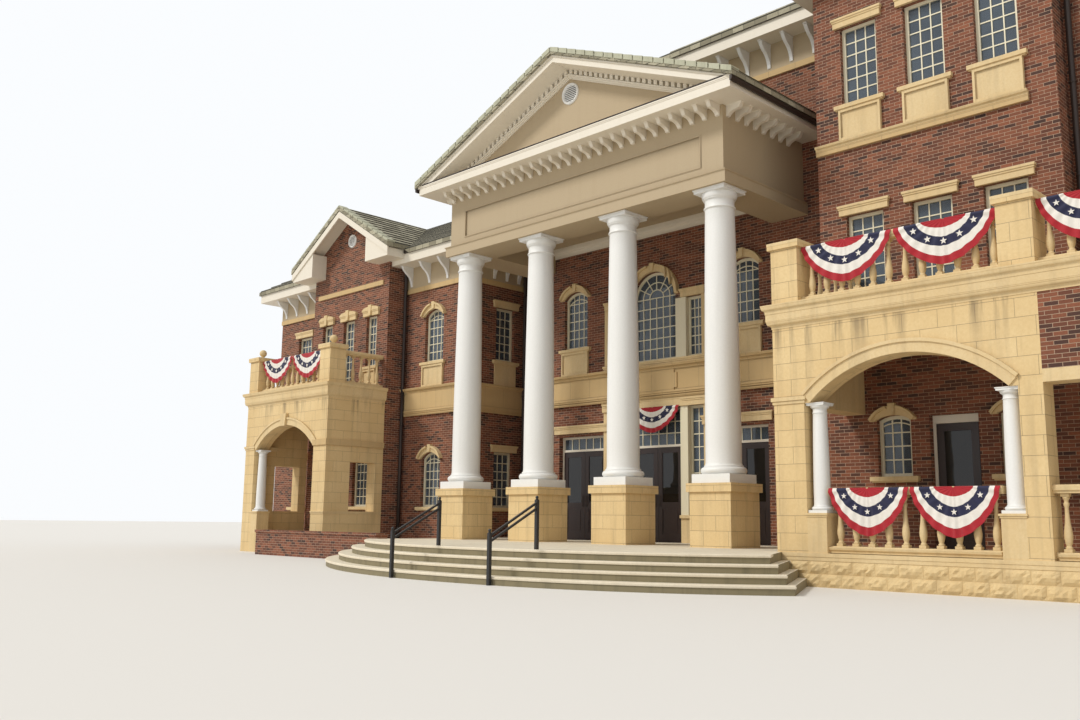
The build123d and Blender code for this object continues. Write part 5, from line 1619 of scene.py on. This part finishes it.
@dataclass
class RoundVents(Piece):
    """Louvred round vents with moulded rings in place of plain ones.

    Attributes:
        count: Louvres in each.
        open_share: Radius of the opening as a share of the ring's.
        blade: Depth behind the ring's front and height of each point of a louvre's section.
    """

    count: int = 9
    open_share: float = 0.76
    blade: tuple[Pair, ...] = ((0.03, -0.016), (0.03, 0.008), (0.08, 0.02), (0.08, 0.006))
    # the second slot, dark iron, is painted shade behind the louvres
    more = (Finish.IRON,)
    soft = 0.002
    stands_in = True

    def fill(self) -> None:
        """Collects the ring, a dark back plate painted as the shade of the void behind, and the louvres of
        each.
        """
        turns = [2 * math.pi * i / 64 for i in range(64)]
        for low, high in boxes(self.node):
            x, z, outer = (low.x + high.x) / 2, (low.z + high.z) / 2, (high.x - low.x) / 2
            inner = outer * self.open_share
            section = [(outer, high.y), (outer, low.y + 0.03), (outer * 0.93, low.y), (outer * 0.86, low.y),
                       (inner, low.y + 0.04), (inner, high.y), (outer, high.y)]
            rows = [[(x + r * math.cos(t), y, z + r * math.sin(t)) for t in turns] for r, y in section]
            self.maker.grid(rows, closed=True, smooth=True)
            # painted shade: a dark plate behind the louvres stands for the unlit space behind the vent
            self.maker.slot = 1
            shade_disc = [(x + inner * math.cos(t), z + inner * math.sin(t)) for t in turns]
            self.maker.plate(shade_disc, high.y - 0.01, 0.008)
            self.maker.slot = 0
            for i in range(self.count):
                at = z - inner + 2 * inner * (i + 0.5) / self.count
                half = math.sqrt(max(inner ** 2 - (at - z) ** 2, 0.0))
                self.maker.push([(x - half, low.y + y, at + up) for y, up in self.blade], (2 * half, 0, 0))


@dataclass
class Run(Piece):
    """A moulded band along level runs in front of walls.

    Attributes:
        outline: Reach out of the wall and height of the points of its section.
        paths: Plan corners of each run, the wall on the left hand.
    """

    outline: list[Pair]
    paths: list[list[Pair]]

    def fill(self) -> None:
        """Collects every run."""
        for path in self.paths:
            self.maker.swept(self.outline, path)


def crown(foot: float, height: float, reach: float) -> list[Pair]:
    """Section of a crown moulding against a wall: a fillet, a hollow, a swell and a top fillet.

    Args:
        foot: Height of its foot.
        height: How tall it is.
        reach: How far it stands out.

    Returns:
        Reach and height of each point.
    """
    turns = [math.pi / 2 * i / 5 for i in range(6)]
    points = [(0.0, 0.0), (0.12, 0.0), (0.12, 0.1)]
    points += [(0.12 + 0.4 * (1 - math.cos(t)), 0.1 + 0.35 * math.sin(t)) for t in turns]
    points += [(0.52 + 0.4 * math.sin(t), 0.45 + 0.4 * (1 - math.cos(t))) for t in turns[1:]]
    points += [(1.0, 0.85), (1.0, 1.0), (0.0, 1.0)]
    return [(reach * out, foot + height * up) for out, up in points]


@dataclass
class Sills(Piece):
    """Projecting noses along the tops of the aprons.

    Attributes:
        out: How far they stand out.
        thick: How far they reach down.
        lap: How far they stand above the apron.
    """

    out: float = 0.03
    thick: float = 0.085
    lap: float = 0.004
    soft = 0.004

    def fill(self) -> None:
        """Collects every nose."""
        for low, high in boxes(self.node):
            self.maker.nose(low, high, self.out, high.z - self.thick, high.z + self.lap)


@dataclass
class ApronPanels(Piece):
    """Raised frames on the aprons under the upper windows.

    Attributes:
        inset: How far a frame stays off the apron's ends, foot and head.
        tall: Height from which an apron has one.
        proud: How far it stands out.
        width: Width of its parts.
    """

    inset: tuple[float, float, float] = (0.06, 0.03, 0.11)
    tall: float = 0.3
    proud: float = 0.008
    width: float = 0.05
    soft = 0.004

    def fill(self) -> None:
        """Collects a frame for each tall apron of the front walls."""
        end, foot, head = self.inset
        for low, high in boxes(self.node):
            size = high - low
            if size.z >= self.tall and size.y <= size.x and low.y <= BACK_FROM:
                corner = (low.x + end, low.y - self.proud, low.z + foot)
                self.maker.rim(corner, (high.x - end, low.y, high.z - head), self.width, True)


@dataclass
class FriezePanel(Piece):
    """Moulded frame round the bare panel of the portico's frieze.

    Attributes:
        half: Half its width.
        foot: Height of its foot.
        head: Height of its head.
        y: The frieze's face.
        steps: Inset and reach of each step.
        width: Width of a step's parts.
    """

    half: float = 4.02
    foot: float = 8.78
    head: float = 9.57
    y: float = -0.4
    steps: tuple[Pair, ...] = ((0.0, 0.01), (0.018, 0.02))
    width: float = 0.022
    soft = 0.004

    def fill(self) -> None:
        """Collects both steps of the frame."""
        for edge, out in self.steps:
            corner = (edge - self.half, self.y - out, self.foot + edge)
            self.maker.rim(corner, (self.half - edge, self.y, self.head - edge), self.width, False)


@dataclass
class RockFace(Piece):
    """Rock-faced blocks in courses with tooled edges, in front of a plinth.

    Attributes:
        walls: Each wall with where the blocks begin and end along it.
        courses: Foot and head of each course.
        pitch: Usual length of a block.
        depth: How far a block swells.
        seed: Start of the random draws.
    """

    walls: list[tuple[WallFace, float, float]]
    courses: tuple[Pair, ...] = ((0.012, 0.225), (0.235, 0.445))
    pitch: float = 0.42
    depth: float = 0.055
    seed: int = 4

    def block(self, face: WallFace, start: float, end: float, foot: float, head: float) -> None:
        """One block with a rough swelling face.

        Args:
            face: The wall's face.
            start: Where it begins along the wall.
            end: Where it ends.
            foot: Height of its foot.
            head: Height of its head.
        """
        dice = random.Random(f"{self.seed} {start:.3f} {foot:.3f} {face.at:.2f}")
        rows, steps, lifts = [], 7, 4
        tilt = (dice.uniform(-0.4, 0.4), dice.uniform(-0.4, 0.4))
        for v in (r / lifts for r in range(lifts + 1)):
            row = []
            for u in (c / steps for c in range(steps + 1)):
                swell = min(1.0, min(u, 1 - u) * 5) * min(1.0, min(v, 1 - v) * 3.2)
                lean = 0.7 + tilt[0] * (u - 0.5) + tilt[1] * (v - 0.5) + dice.uniform(-0.42, 0.42)
                out = 0.004 + self.depth * swell * lean
                row.append(face.point(start + (end - start) * u, out, foot + (head - foot) * v))
            rows.append(row)
        self.maker.grid(rows)
        rim = rows[0] + [row[-1] for row in rows[1:]]
        rim += rows[-1][-2::-1] + [row[0] for row in rows[-2:0:-1]]
        inward = face.point(0, -0.01, 0) - face.point(0, 0, 0)
        self.maker.grid([rim, [p + inward for p in rim]], closed=True)

    def fill(self) -> None:
        """Collects every block, those of the second course shifted by half a length."""
        for face, start, end in self.walls:
            count = max(1, round((end - start) / self.pitch))
            step = (end - start) / count
            for number, (foot, head) in enumerate(self.courses):
                shift, first = (step / 2, 0) if number % 2 else (0.0, 1)
                marks = [start, *(start + shift + step * i for i in range(first, count)), end]
                for a, b in zip(marks, marks[1:]):
                    if b - a > 0.05:
                        self.block(face, a + 0.005, b - 0.005, foot, head)


@dataclass
class VergeTiles(Piece):
    """Row of edge tiles along both slopes of a gable.

    Attributes:
        middle: The x of the ridge.
        apex: Height of the ridge's top.
        pitch: Rise of a slope over its run.
        half: Run of a slope.
        face: The y of the tiles' fronts.
        tile: Usual length of a tile.
        tall: Its height.
        lift: How much higher its upper end is.
        deep: How far it reaches back.
        drop: How far its foot lies below the slope.
    """

    middle: float
    apex: float
    pitch: float
    half: float
    face: float
    tile: float = 0.33
    tall: float = 0.12
    lift: float = 0.012
    deep: float = 0.3
    drop: float = 0.06
    soft = 0.004

    def fill(self) -> None:
        """Collects every tile from the foot of each slope up."""
        top = self.apex - self.drop
        high, up, lift = (Vector(p) for p in (
            (self.middle, self.face, top), (0, 0, self.tall), (0, 0, self.lift),
        ))
        for x in (self.middle - self.half, self.middle + self.half):
            low = Vector((x, self.face, top - self.pitch * self.half))
            run = high - low
            count = max(1, round(run.length / self.tile))
            for i in range(count):
                a, b = (low + run * (i + part) / count for part in (0.05, 0.95))
                self.maker.push([a, b, b + up, a + up + lift], (0, self.deep, 0))


@dataclass
class TreadEdges(Piece):
    """Pale rounded edges along the front of each curved tread.

    Attributes:
        nodes: The step nodes.
        out: How far an edge stands out.
        thick: Its height.
    """

    nodes: tuple[str, ...] = ("landing", "upper_step", "middle_step", "lower_step")
    out: float = 0.02
    thick: float = 0.045

    @staticmethod
    def edge(node: str) -> list[Vector]:
        """Front edge of a step's top face.

        Args:
            node: The step's node.

        Returns:
            Its points from the left end to the right end.
        """
        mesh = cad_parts[node].data
        top = max(v.co.z for v in mesh.vertices)
        found: dict[Pair, Vector] = {}
        for polygon in mesh.polygons:
            turned = polygon.normal
            if abs(turned.z) < 0.1 and (turned.y < -0.02 or turned.x > 0.5):
                for point in (mesh.vertices[v].co for v in polygon.vertices):
                    if abs(point.z - top) < 1e-4:
                        found[(round(point.x, 3), round(point.y, 3))] = point.copy()
        return sorted((p for p in found.values() if p.y < 1.9), key=lambda p: math.atan2(p.y - 2.2, p.x))

    def fill(self) -> None:
        """Collects every edge."""
        for node in self.nodes:
            line = self.edge(node)
            top, o, t = line[0].z, self.out, self.thick
            section = [(-0.05, top + 0.001), (-0.05, top - t), (o * 0.8, top - t), (o, top - t * 0.6),
                       (o, top - t * 0.25), (o * 0.6, top + 0.001)]
            path = [(line[0].x, line[0].y)]
            for place in line[1:]:
                if (place.xy - Vector(path[-1])).length > 0.02:
                    path.append((place.x, place.y))
            self.maker.swept(section, path)


@dataclass
class PostCaps(Piece):
    """Round caps on the posts of the handrails.

    Attributes:
        radius: Their radius.
        post: Length of a rail's end that its post takes up.
    """

    radius: float = 0.029
    post: float = 0.07

    def fill(self) -> None:
        """Collects a cap for the post at each end of each rail."""
        outline = [(self.radius, 0.0), (self.radius, 0.012), (0.016, 0.02)]
        for i in range(9):
            turn = -math.pi / 2 + math.pi * (0.18 + 0.81 * i / 8)
            outline.append((max(self.radius * math.cos(turn), 0.001), 0.044 + self.radius * math.sin(turn)))
        for points in islands(self.node):
            low, high = extent(points)
            near = [p for p in points if p.y < low.y + self.post]
            far = [p for p in points if p.y > high.y - self.post]
            for foot, head in map(extent, (near, far)):
                self.maker.turned(outline, ((low.x + high.x) / 2, (foot.y + head.y) / 2, head.z), sides=20)


@dataclass
class HeadMouldings(Piece):
    """Moulded upper edges on the stone heads over the windows.

    Attributes:
        out: How far they stand out.
        thick: Width of the edge round an arch.
        steps: Share of the reach, foot and head below the top of each step of a level edge.
        rise: Rise of a curved edge over a level head.
        sunk: How far behind the front an arch's edge begins.
    """

    out: float = 0.032
    thick: float = 0.055
    steps: tuple[tuple[float, float, float], ...] = ((0.5, 0.085, 0.045), (1.0, 0.045, 0.0))
    rise: float = 0.1
    sunk: float = 0.035
    soft = 0.003

    def fill(self) -> None:
        """Collects the edge of each head by its shape."""
        for points in islands(self.node):
            low, high = extent(points)
            if len(points) > 30 and high.y - low.y < 0.3:
                self.arched(points, low, high)
            elif high.z - low.z < 0.3:
                for share, foot, head in self.steps:
                    self.maker.nose(low, high, self.out * share, high.z - foot, high.z - head + 0.003)
                if low.y < 1.0 and high.x < -9.0 and low.z > 7.0:
                    self.eyebrow(low, high)

    def eyebrow(self, low: Vector, high: Vector) -> None:
        """Low curved rise with a keystone over a level head.

        Args:
            low: The head's lowest corner.
            high: Its highest corner.
        """
        middle, half = (low.x + high.x) / 2, (high.x - low.x) / 2 + 0.02
        turns = [math.pi * i / 12 for i in range(13)]
        ring = [(middle + half * math.cos(t), high.z + self.rise * math.sin(t)) for t in turns]
        self.maker.plate(ring, low.y - 0.03, 0.1)
        self.maker.plate(keystone(middle, 0.06, 0.09, low.z, high.z + 0.14), low.y - 0.055, 0.12)

    def arched(self, points: list[Vector], low: Vector, high: Vector) -> None:
        """Raised edge that follows the top of an arched head, on both sides of its keystone.

        Args:
            points: The head's points.
            low: Its lowest corner.
            high: Its highest corner.
        """
        tops: dict[float, float] = {}
        for p in points:
            tops[round(p.x, 3)] = max(tops.get(round(p.x, 3), 0.0), p.z)
        middle, edge = (low.x + high.x) / 2, sorted(tops.items())
        line = [edge[0]]
        for before, (x, z), after in zip(edge, edge[1:], edge[2:]):
            if z >= min(before[1], after[1]) - 0.004 and abs(x - middle) > 0.1:
                line.append((x, z))
        line.append(edge[-1])
        for side in (-1, 1):
            half = [(x, z) for x, z in line if (x - middle) * side > 0][::side]
            if len(half) >= 3:
                self.maker.strip(half, 0.0, -side * self.thick, low.y + self.sunk, self.out + self.sunk)


def keystone(middle: float, narrow: float, wide: float, foot: float, head: float) -> list[Pair]:
    """Outline of a keystone: half its width at the foot and at the head."""
    return [(middle - narrow, foot), (middle + narrow, foot), (middle + wide, head), (middle - wide, head)]


@dataclass
class Pipes(Piece):
    """Lower lengths, clips and shoes of the rainwater pipes.

    Attributes:
        lower: Place, foot and head of each added length.
        clips: Place and height of each clip.
        radius: A pipe's radius.
    """

    lower: list[tuple[float, ...]]
    clips: list[tuple[float, ...]]
    radius: float = 0.055

    def fill(self) -> None:
        """Collects every length, shoe and clip."""
        r = self.radius
        for x, y, foot, head in self.lower:
            self.maker.turned([(r, 0.0), (r, head - foot)], (x, y, foot), sides=24)
            self.maker.turned([(r * 1.3, 0.0), (r * 1.3, 0.09), (r, 0.11)], (x, y, foot), sides=24)
        for place in self.clips:
            self.maker.turned([(r, 0.0), (r * 1.18, 0.006), (r * 1.18, 0.04), (r, 0.046)], place, sides=24)


@dataclass
class Surrounds(Piece):
    """Flat boards or stones round the middle openings of the centre wall, alike on both sides.

    Attributes:
        parts: Near and far edge from the middle, foot, head and how far each stands out.
        back: How far each reaches into the wall.
        wall: The y of the wall's face.
    """

    parts: list[tuple[float, ...]]
    back: float = 0.004
    wall: float = 2.856
    soft = 0.004

    def fill(self) -> None:
        """Collects each part, twice where it stands beside the middle."""
        for near, far, foot, head, out in self.parts:
            for start, end in ((near, far), (-far, -near)) if near > 0 else ((near, far),):
                self.maker.box((start, self.wall - out, foot), (end, self.wall + self.back, head))


@dataclass
class RakeMoulding(Piece):
    """Stepped mouldings along the two sloping edges of a gable.

    Attributes:
        middle: Its x below the ridge.
        apex: Height of the slopes' meeting point.
        pitch: Rise of a slope over its run.
        half: Run of a slope.
        face: The y that the mouldings stand in front of.
        strips: Drop of the upper edge, drop of the lower edge and reach of each moulding.
        teeth: Whether small blocks hang under the lowest moulding.
        tooth_step: Distance between two of them.
        tooth_half: Half the width of one.
        tooth_drop: Its height.
        tooth_reach: How far it stands out.
    """

    middle: float
    apex: float
    pitch: float
    half: float
    face: float
    strips: tuple[tuple[float, float, float], ...]
    teeth: bool = False
    tooth_step: float = 0.17
    tooth_half: float = 0.05
    tooth_drop: float = 0.11
    tooth_reach: float = 0.1
    soft = 0.003

    def lay(self, start: float, end: float, drops: Pair, reach: float) -> None:
        """A length that runs below the slope.

        Args:
            start: Where it begins.
            end: Where it ends.
            drops: How far its upper and its lower edge lie below the slope.
            reach: How far it stands out.
        """
        upper, lower = drops
        corners = ((start, upper), (end, upper), (end, lower), (start, lower))
        ring = [(x, self.apex - drop - self.pitch * abs(x - self.middle)) for x, drop in corners]
        self.maker.plate(ring, self.face, -reach)

    def fill(self) -> None:
        """Collects the mouldings and blocks of both slopes."""
        for side in (-1, 1):
            for upper, lower, reach in self.strips:
                self.lay(self.middle, self.middle + side * self.half, (upper, lower), reach)
            for i in range(round((self.half - 0.3) / self.tooth_step) if self.teeth else 0):
                x, half = self.middle + side * (0.09 + i * self.tooth_step), self.tooth_half
                self.lay(x - half, x + half, (0.0, self.tooth_drop), self.tooth_reach)


@dataclass
class ArchBand(Piece):
    """Raised stone band and keystone round an arch that is read from a node.

    Attributes:
        face: The y of the wall's face.
        start: Where the arch begins.
        end: Where it ends.
        above: Only points above this height count.
        key: Width of the keystone.
        band: Width of the band.
        out: How far it stands out.
    """

    face: float
    start: float
    end: float
    above: float
    key: float = 0.0
    band: float = 0.24
    out: float = 0.03
    soft = 0.004

    def soffit(self) -> list[Pair]:
        """The arch's own line.

        Returns:
            Its places from left to right.
        """
        columns: dict[float, float] = {}
        for x, y, z in (v.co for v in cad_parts[self.node].data.vertices):
            here = abs(y - self.face) < 0.02 and self.start - 0.01 < x < self.end + 0.01
            if here and round(z, 3) > self.above:
                columns[round(x, 3)] = min(columns.get(round(x, 3), math.inf), round(z, 3))
        return sorted(columns.items())

    def fill(self) -> None:
        """Collects the band, its outer bead and the keystone."""
        line = self.soffit()
        self.maker.strip(line, 0.0, self.band, self.face, self.out)
        self.maker.strip(line, self.band * 0.74, self.band, self.face, self.out * 2.0)
        if self.key:
            middle, half, top = (self.start + self.end) / 2, self.key / 2, max(z for _, z in line)
            ring = keystone(middle, half * 0.75, half * 1.2, top - 0.03, top + self.band + 0.12)
            self.maker.plate(ring, self.face, -self.out * 3.4)


@dataclass
class Finials(Piece):
    """Ball finials on piers.

    Attributes:
        places: The middle of each foot.
        radius: Radius of a ball.
    """

    places: list[Point]
    radius: float = 0.12

    def fill(self) -> None:
        """Collects every finial."""
        r = self.radius
        outline = [(r * 0.9, 0.0), (r * 0.9, 0.02), (r * 0.55, 0.035), (r * 0.4, 0.05), (r * 0.45, 0.07)]
        for i in range(1, 14):
            turn = math.pi * (0.14 + 0.85 * i / 13) - math.pi / 2
            outline.append((max(r * math.cos(turn), 0.002), 0.06 + r + r * math.sin(turn)))
        for place in self.places:
            self.maker.turned(outline, place, sides=32)


@dataclass
class Caps(Piece):
    """Square moulded caps or bands round upright piers.

    Attributes:
        reach: How far each stands out.
        foot: Height of its foot.
        head: Height of its head.
        plans: Plan corners of what each goes round: x0, y0, x1, y1.
    """

    reach: float
    foot: float
    head: float
    plans: list[tuple[float, ...]]
    soft = 0.004

    def fill(self) -> None:
        """Collects both steps of each."""
        knee = self.foot + (self.head - self.foot) * 0.45
        for x0, y0, x1, y1 in self.plans:
            for out, low, high in ((self.reach * 0.5, self.foot, knee), (self.reach, knee, self.head)):
                self.maker.box((x0 - out, y0 - out, low), (x1 + out, y1 + out, high))


def stepped(foot: float, head: float, reach: float) -> list[Pair]:
    """Section of a plain two-step band."""
    half, middle = reach * 0.5, (foot + head) / 2
    return [(0.0, foot), (half, foot), (half, middle), (reach, middle), (reach, head), (0.0, head)]


def board(foot: float, head: float) -> list[Pair]:
    """Section of a flat board."""
    return [(0.0, foot), (0.03, foot), (0.03, head), (0.0, head)]


def gutter(foot: float) -> list[Pair]:
    """Section of a small gutter hung on a board."""
    return [(0.0, foot), (0.035, foot), (0.055, foot + 0.03), (0.06, foot + 0.105), (0.0, foot + 0.105)]


RIGHT_SLAB = [(6.35, 1.12), (6.35, -1.63), (14.93, -1.63), (14.93, 1.68)]
RIGHT_PORCH = [(6.44, 1.12), (6.44, -1.54), (14.84, -1.54), (14.84, 1.68)]
LEFT_SLAB = [(-14.174, 0.868), (-14.174, -1.294), (-9.15, -1.294), (-9.15, 0.868)]
LEFT_PORCH = [(-14.084, 0.868), (-14.084, -1.204), (-9.24, -1.204), (-9.24, 0.868)]
PORTICO_BEAM = [(-4.7, 2.8), (-4.7, -0.5), (4.7, -0.5), (4.7, 2.8)]
PORTICO_CORNICE = [(-5.26, 2.8), (-5.26, -1.06), (5.26, -1.06), (5.26, 2.8)]
PORTICO_GUTTERS = [[(5.3, -1.14), (5.3, 2.8)], [(-5.3, 2.8), (-5.3, -1.14)]]
BELTS = [
    [(-4.76, 2.766), (5.99, 2.766)], [(-9.24, 1.508), (-6.044, 1.508), (-6.044, 3.92)],
    [(-16.97, 1.508), (-13.6, 1.508)],
]
WING_FRIEZE = [[(-16.97, 1.568), (-13.6, 1.568)], [(-9.24, 1.568), (-6.104, 1.568), (-6.104, 3.92)]]
MAIN_FRIEZE = [[(-4.76, 2.856), (5.99, 2.856)], [(11.0, 1.68), (16.97, 1.68)]]
WING_EAVES = [
    [(-8.56, 0.948), (-5.484, 0.948), (-5.484, 3.3), (-4.85, 3.3)],
    [(-17.59, 7.0), (-17.59, 0.948), (-14.3, 0.948)],
]
MAIN_EAVES = [
    [(-5.38, 9.5), (-5.38, 2.236), (5.35, 2.236)], [(11.5, 1.06), (17.59, 1.06), (17.59, 9.5)],
]
PORCH_LEDGES = [[(7.1, -1.46), (10.42, -1.46)], [(11.24, -1.46), (14.08, -1.46)]]
PORCH_SILL = [(-9.942, -1.204), (-9.24, -1.204), (-9.24, 0.86)]
PEDESTALS = [(-13.512, -1.204, -13.132, -0.774), (7.07, -1.54, 7.45, -1.11), (10.45, -1.54, 10.83, -1.11)]
IMPOSTS = [
    (-9.942, -1.204, -9.24, -0.4), (-14.084, -1.204, -13.512, -0.4), (6.44, -1.54, 7.07, -1.11),
    (14.112, -1.54, 14.84, -1.11),
]
PIERS = [
    (-14.104, -1.224, -13.504, -0.624), (-9.82, -1.224, -9.22, -0.624), (6.42, -1.56, 7.02, -0.96),
    (10.62, -1.56, 11.22, -0.96), (14.26, -1.56, 14.86, -0.96),
]
WING_PIPE, RECESS_PIPE, PAVILION_PIPE = (-9.115, 1.443), (-5.979, 3.795), (11.015, 1.555)
CLIPS = [(*place, z) for place, heights in (
    (WING_PIPE, (0.8, 2.6, 4.0, 5.4, 6.9, 8.4)), (RECESS_PIPE, (1.2, 2.9, 4.9, 6.4, 8.0)),
    (PAVILION_PIPE, (5.6, 7.4, 9.2, 11.0, 12.4)),
) for z in heights]
PEDIMENT_STRIPS = ((0.12, 0.17, 0.1), (0.17, 0.21, 0.07), (0.21, 0.24, 0.04))
RAKE_BOARD, RAKE_SOFFIT = ((0.0, 0.22, 0.05),), ((0.0, 0.03, 0.58),)
MULLIONS = [(0.872, 1.112, 1.278, 4.048, 0.02), (0.744, 1.08, 5.308, 6.888, 0.02)]
LININGS = [(1.096, 1.112, 1.278, 4.048, -0.004), (1.06, 1.08, 5.308, 6.888, -0.004)]
STONES = [
    (0.872, 1.76, 0.588, 1.278, 0.022), (0.86, 1.79, 1.2, 1.278, 0.07), (1.604, 1.76, 1.278, 4.048, 0.022),
    (1.572, 1.73, 5.158, 6.888, 0.022), (-1.79, 1.79, 4.046, 4.306, 0.058), (-1.81, 1.81, 4.24, 4.3, 0.068),
]


def mouldings() -> list[Piece]:
    """Every level band and moulding, in the order that they are made.

    Returns:
        The pieces.
    """
    cream, bronze, stucco = Finish.CREAM, Finish.BRONZE, Finish.STUCCO
    cast, belt = Finish.CAST, Finish.BELT
    rows = [
        ("cornice_lip", cream, stepped(10.3, 10.36, 0.02), [PORTICO_CORNICE]),
        ("cornice_flashing", bronze, stepped(10.36, 10.39, 0.03), [PORTICO_CORNICE[1:3]]),
        ("architrave_moulding", stucco, crown(8.55, 0.05, 0.03), [PORTICO_BEAM]),
        ("portico_gutters", bronze, gutter(10.2), PORTICO_GUTTERS),
        ("wing_gutters", bronze, gutter(9.43), WING_EAVES),
        ("main_gutters", bronze, gutter(13.21), MAIN_EAVES),
        ("wing_eave_frieze", stucco, board(8.428, 9.128), WING_FRIEZE),
        ("main_eave_frieze", stucco, board(12.208, 12.908), MAIN_FRIEZE),
        ("porch_base_band", cast, stepped(0.455, 0.59, 0.02), [RIGHT_PORCH]),
        ("porch_base_ledge", cast, crown(0.6, 0.1, 0.045), PORCH_LEDGES),
        ("porch_sill_band", cast, stepped(1.22, 1.3, 0.03), [PORCH_SILL]),
        ("portico_wall_crown", cream, crown(8.72, 0.27, 0.14), [[(-3.7, 2.856), (3.7, 2.856)]]),
        ("belt_top_moulding", belt, crown(5.03, 0.14, 0.1), BELTS),
        ("belt_lower_moulding", belt, stepped(4.38, 4.47, 0.045), BELTS),
        ("belt_foot_moulding", belt, stepped(4.3, 4.35, 0.03), BELTS),
        ("pavilion_ledge_moulding", cast, crown(9.03, 0.095, 0.06), [[(5.99, 1.05), (10.388, 1.05)]]),
        ("balcony_crown", cast, crown(4.98, 0.172, 0.07), [RIGHT_SLAB, LEFT_SLAB]),
        ("balcony_bed_moulding", cast, crown(4.7, 0.148, 0.085), [RIGHT_PORCH, LEFT_PORCH]),
    ]
    return [Run(name, outline, paths, finish=finish) for name, finish, outline, paths in rows]


def gables() -> list[Piece]:
    """Mouldings and edge tiles of the three gables.

    Returns:
        The pieces.
    """
    portico, bay, pavilion = (0.0, 12.565, 0.42), (-11.42, 11.292, 0.61), (8.44, 15.08, 0.61)
    rakes = [
        RakeMoulding("portico_rake_lip", *portico, 5.3, -1.06, ((0.0, 0.045, 0.03),)),
        RakeMoulding("pediment_rake_bed", 0.0, 12.379, 0.42, 4.7, -0.4, PEDIMENT_STRIPS, True),
        RakeMoulding("bay_rake_board", *bay, 2.84, 0.32, RAKE_BOARD),
        RakeMoulding("bay_rake_soffit", *bay, 2.8, 0.868, RAKE_SOFFIT),
        RakeMoulding("pavilion_rake_board", *pavilion, 3.05, 0.58, RAKE_BOARD),
        RakeMoulding("pavilion_rake_soffit", *pavilion, 3.0, 1.12, RAKE_SOFFIT),
    ]
    verges = [
        VergeTiles("portico_verge", 0.0, 12.689, 0.42, 5.38, -1.165),
        VergeTiles("bay_verge", -11.42, 11.449, 0.61, 2.86, 0.25),
        VergeTiles("pavilion_verge", 8.44, 15.237, 0.61, 3.1, 0.49),
    ]
    for group, finish in ((rakes, Finish.CREAM), (verges, Finish.VERGE_TILE)):
        for piece in group:
            piece.finish = finish
    return rakes + verges


def pieces() -> list[Piece | DoorLeaf | Bunting]:
    """Every dressed piece in the order that it is made.

    Returns:
        The pieces.
    """
    plinth = [(WallFace(Side.FRONT, -1.54), 6.44, 14.84), (WallFace(Side.RIGHT, 14.84), -1.54, 1.68)]
    white, sash, arches = Finish.WHITE, Finish.SASH, "porch_arches"
    return [
        Columns("turned_columns", 0.38, 0.322, 0.19, 0.403, 0.09, node="columns", finish=white),
        Columns("turned_porch_columns", 0.15, 0.125, 0.05, 0.175, 0.05, node="porch_columns", finish=white),
        GlazingBars("glazing_bars", finish=sash),
        *(DoorLeaf(name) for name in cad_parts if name.endswith("_leaf")),
        Brackets("scrolled_brackets", 0.03, node="eave_brackets", finish=white),
        Brackets("scrolled_modillions", 0.02, node="modillions", finish=Finish.CREAM),
        Bunting(),
        RoofCourses("main_tile_courses", 0.165, node="main_roof", finish=Finish.TILE),
        RoofCourses("wing_tile_courses", 0.165, node="wing_roof", finish=Finish.TILE),
        RoofCourses("portico_tile_courses", 0.124, node="portico_roof", finish=Finish.SMALL_TILE),
        Balusters("turned_balcony_balusters", node="balcony_balustrades"),
        Balusters("turned_porch_balusters", node="porch_balustrades"),
        RoundVents("louvred_vents", node="round_vents", finish=white),
        Sills("sill_noses", node="window_aprons"),
        ApronPanels("apron_panels", node="window_aprons"),
        FriezePanel("frieze_panel_frame", finish=Finish.STUCCO),
        RockFace("rock_faced_base", plinth, finish=Finish.ROCK),
        *mouldings(),
        *gables(),
        TreadEdges("tread_edges", finish=Finish.TREAD_EDGE),
        PostCaps("post_caps", node="handrails", finish=Finish.IRON),
        Pipes("pipe_fittings", [(*WING_PIPE, 0.02, 5.15)], CLIPS, finish=Finish.BRONZE),
        HeadMouldings("head_mouldings", node="window_heads"),
        Caps("pedestal_caps", 0.03, 1.22, 1.289, PEDESTALS),
        Caps("impost_bands", 0.045, 3.27, 3.4, IMPOSTS),
        Caps("pier_caps", 0.035, 6.25, 6.362, PIERS),
        ArchBand("right_arch_band", -1.54, 7.2, 10.7, 3.25, node=arches),
        ArchBand("left_arch_band", -1.204, -13.38, -9.94, 3.25, 0.3, node=arches),
        Surrounds("window_mullions", MULLIONS, finish=sash),
        Surrounds("reveal_linings", LININGS, 0.1, finish=sash),
        Surrounds("stone_surrounds", STONES),
        Finials("ball_finials", [(-9.52, -0.924, 6.37), (-13.804, -0.924, 6.37)]),
    ]


def main() -> None:
    """Builds the looks in order."""
    logging.basicConfig(level=logging.INFO, format="%(message)s")
    bpy.context.scene.view_settings.view_transform = "Standard"
    paint = Paintbox()
    Studio().build()
    dress_nodes(paint)
    for piece in pieces():
        piece.build(paint)


if __name__ == "__main__":
    main()
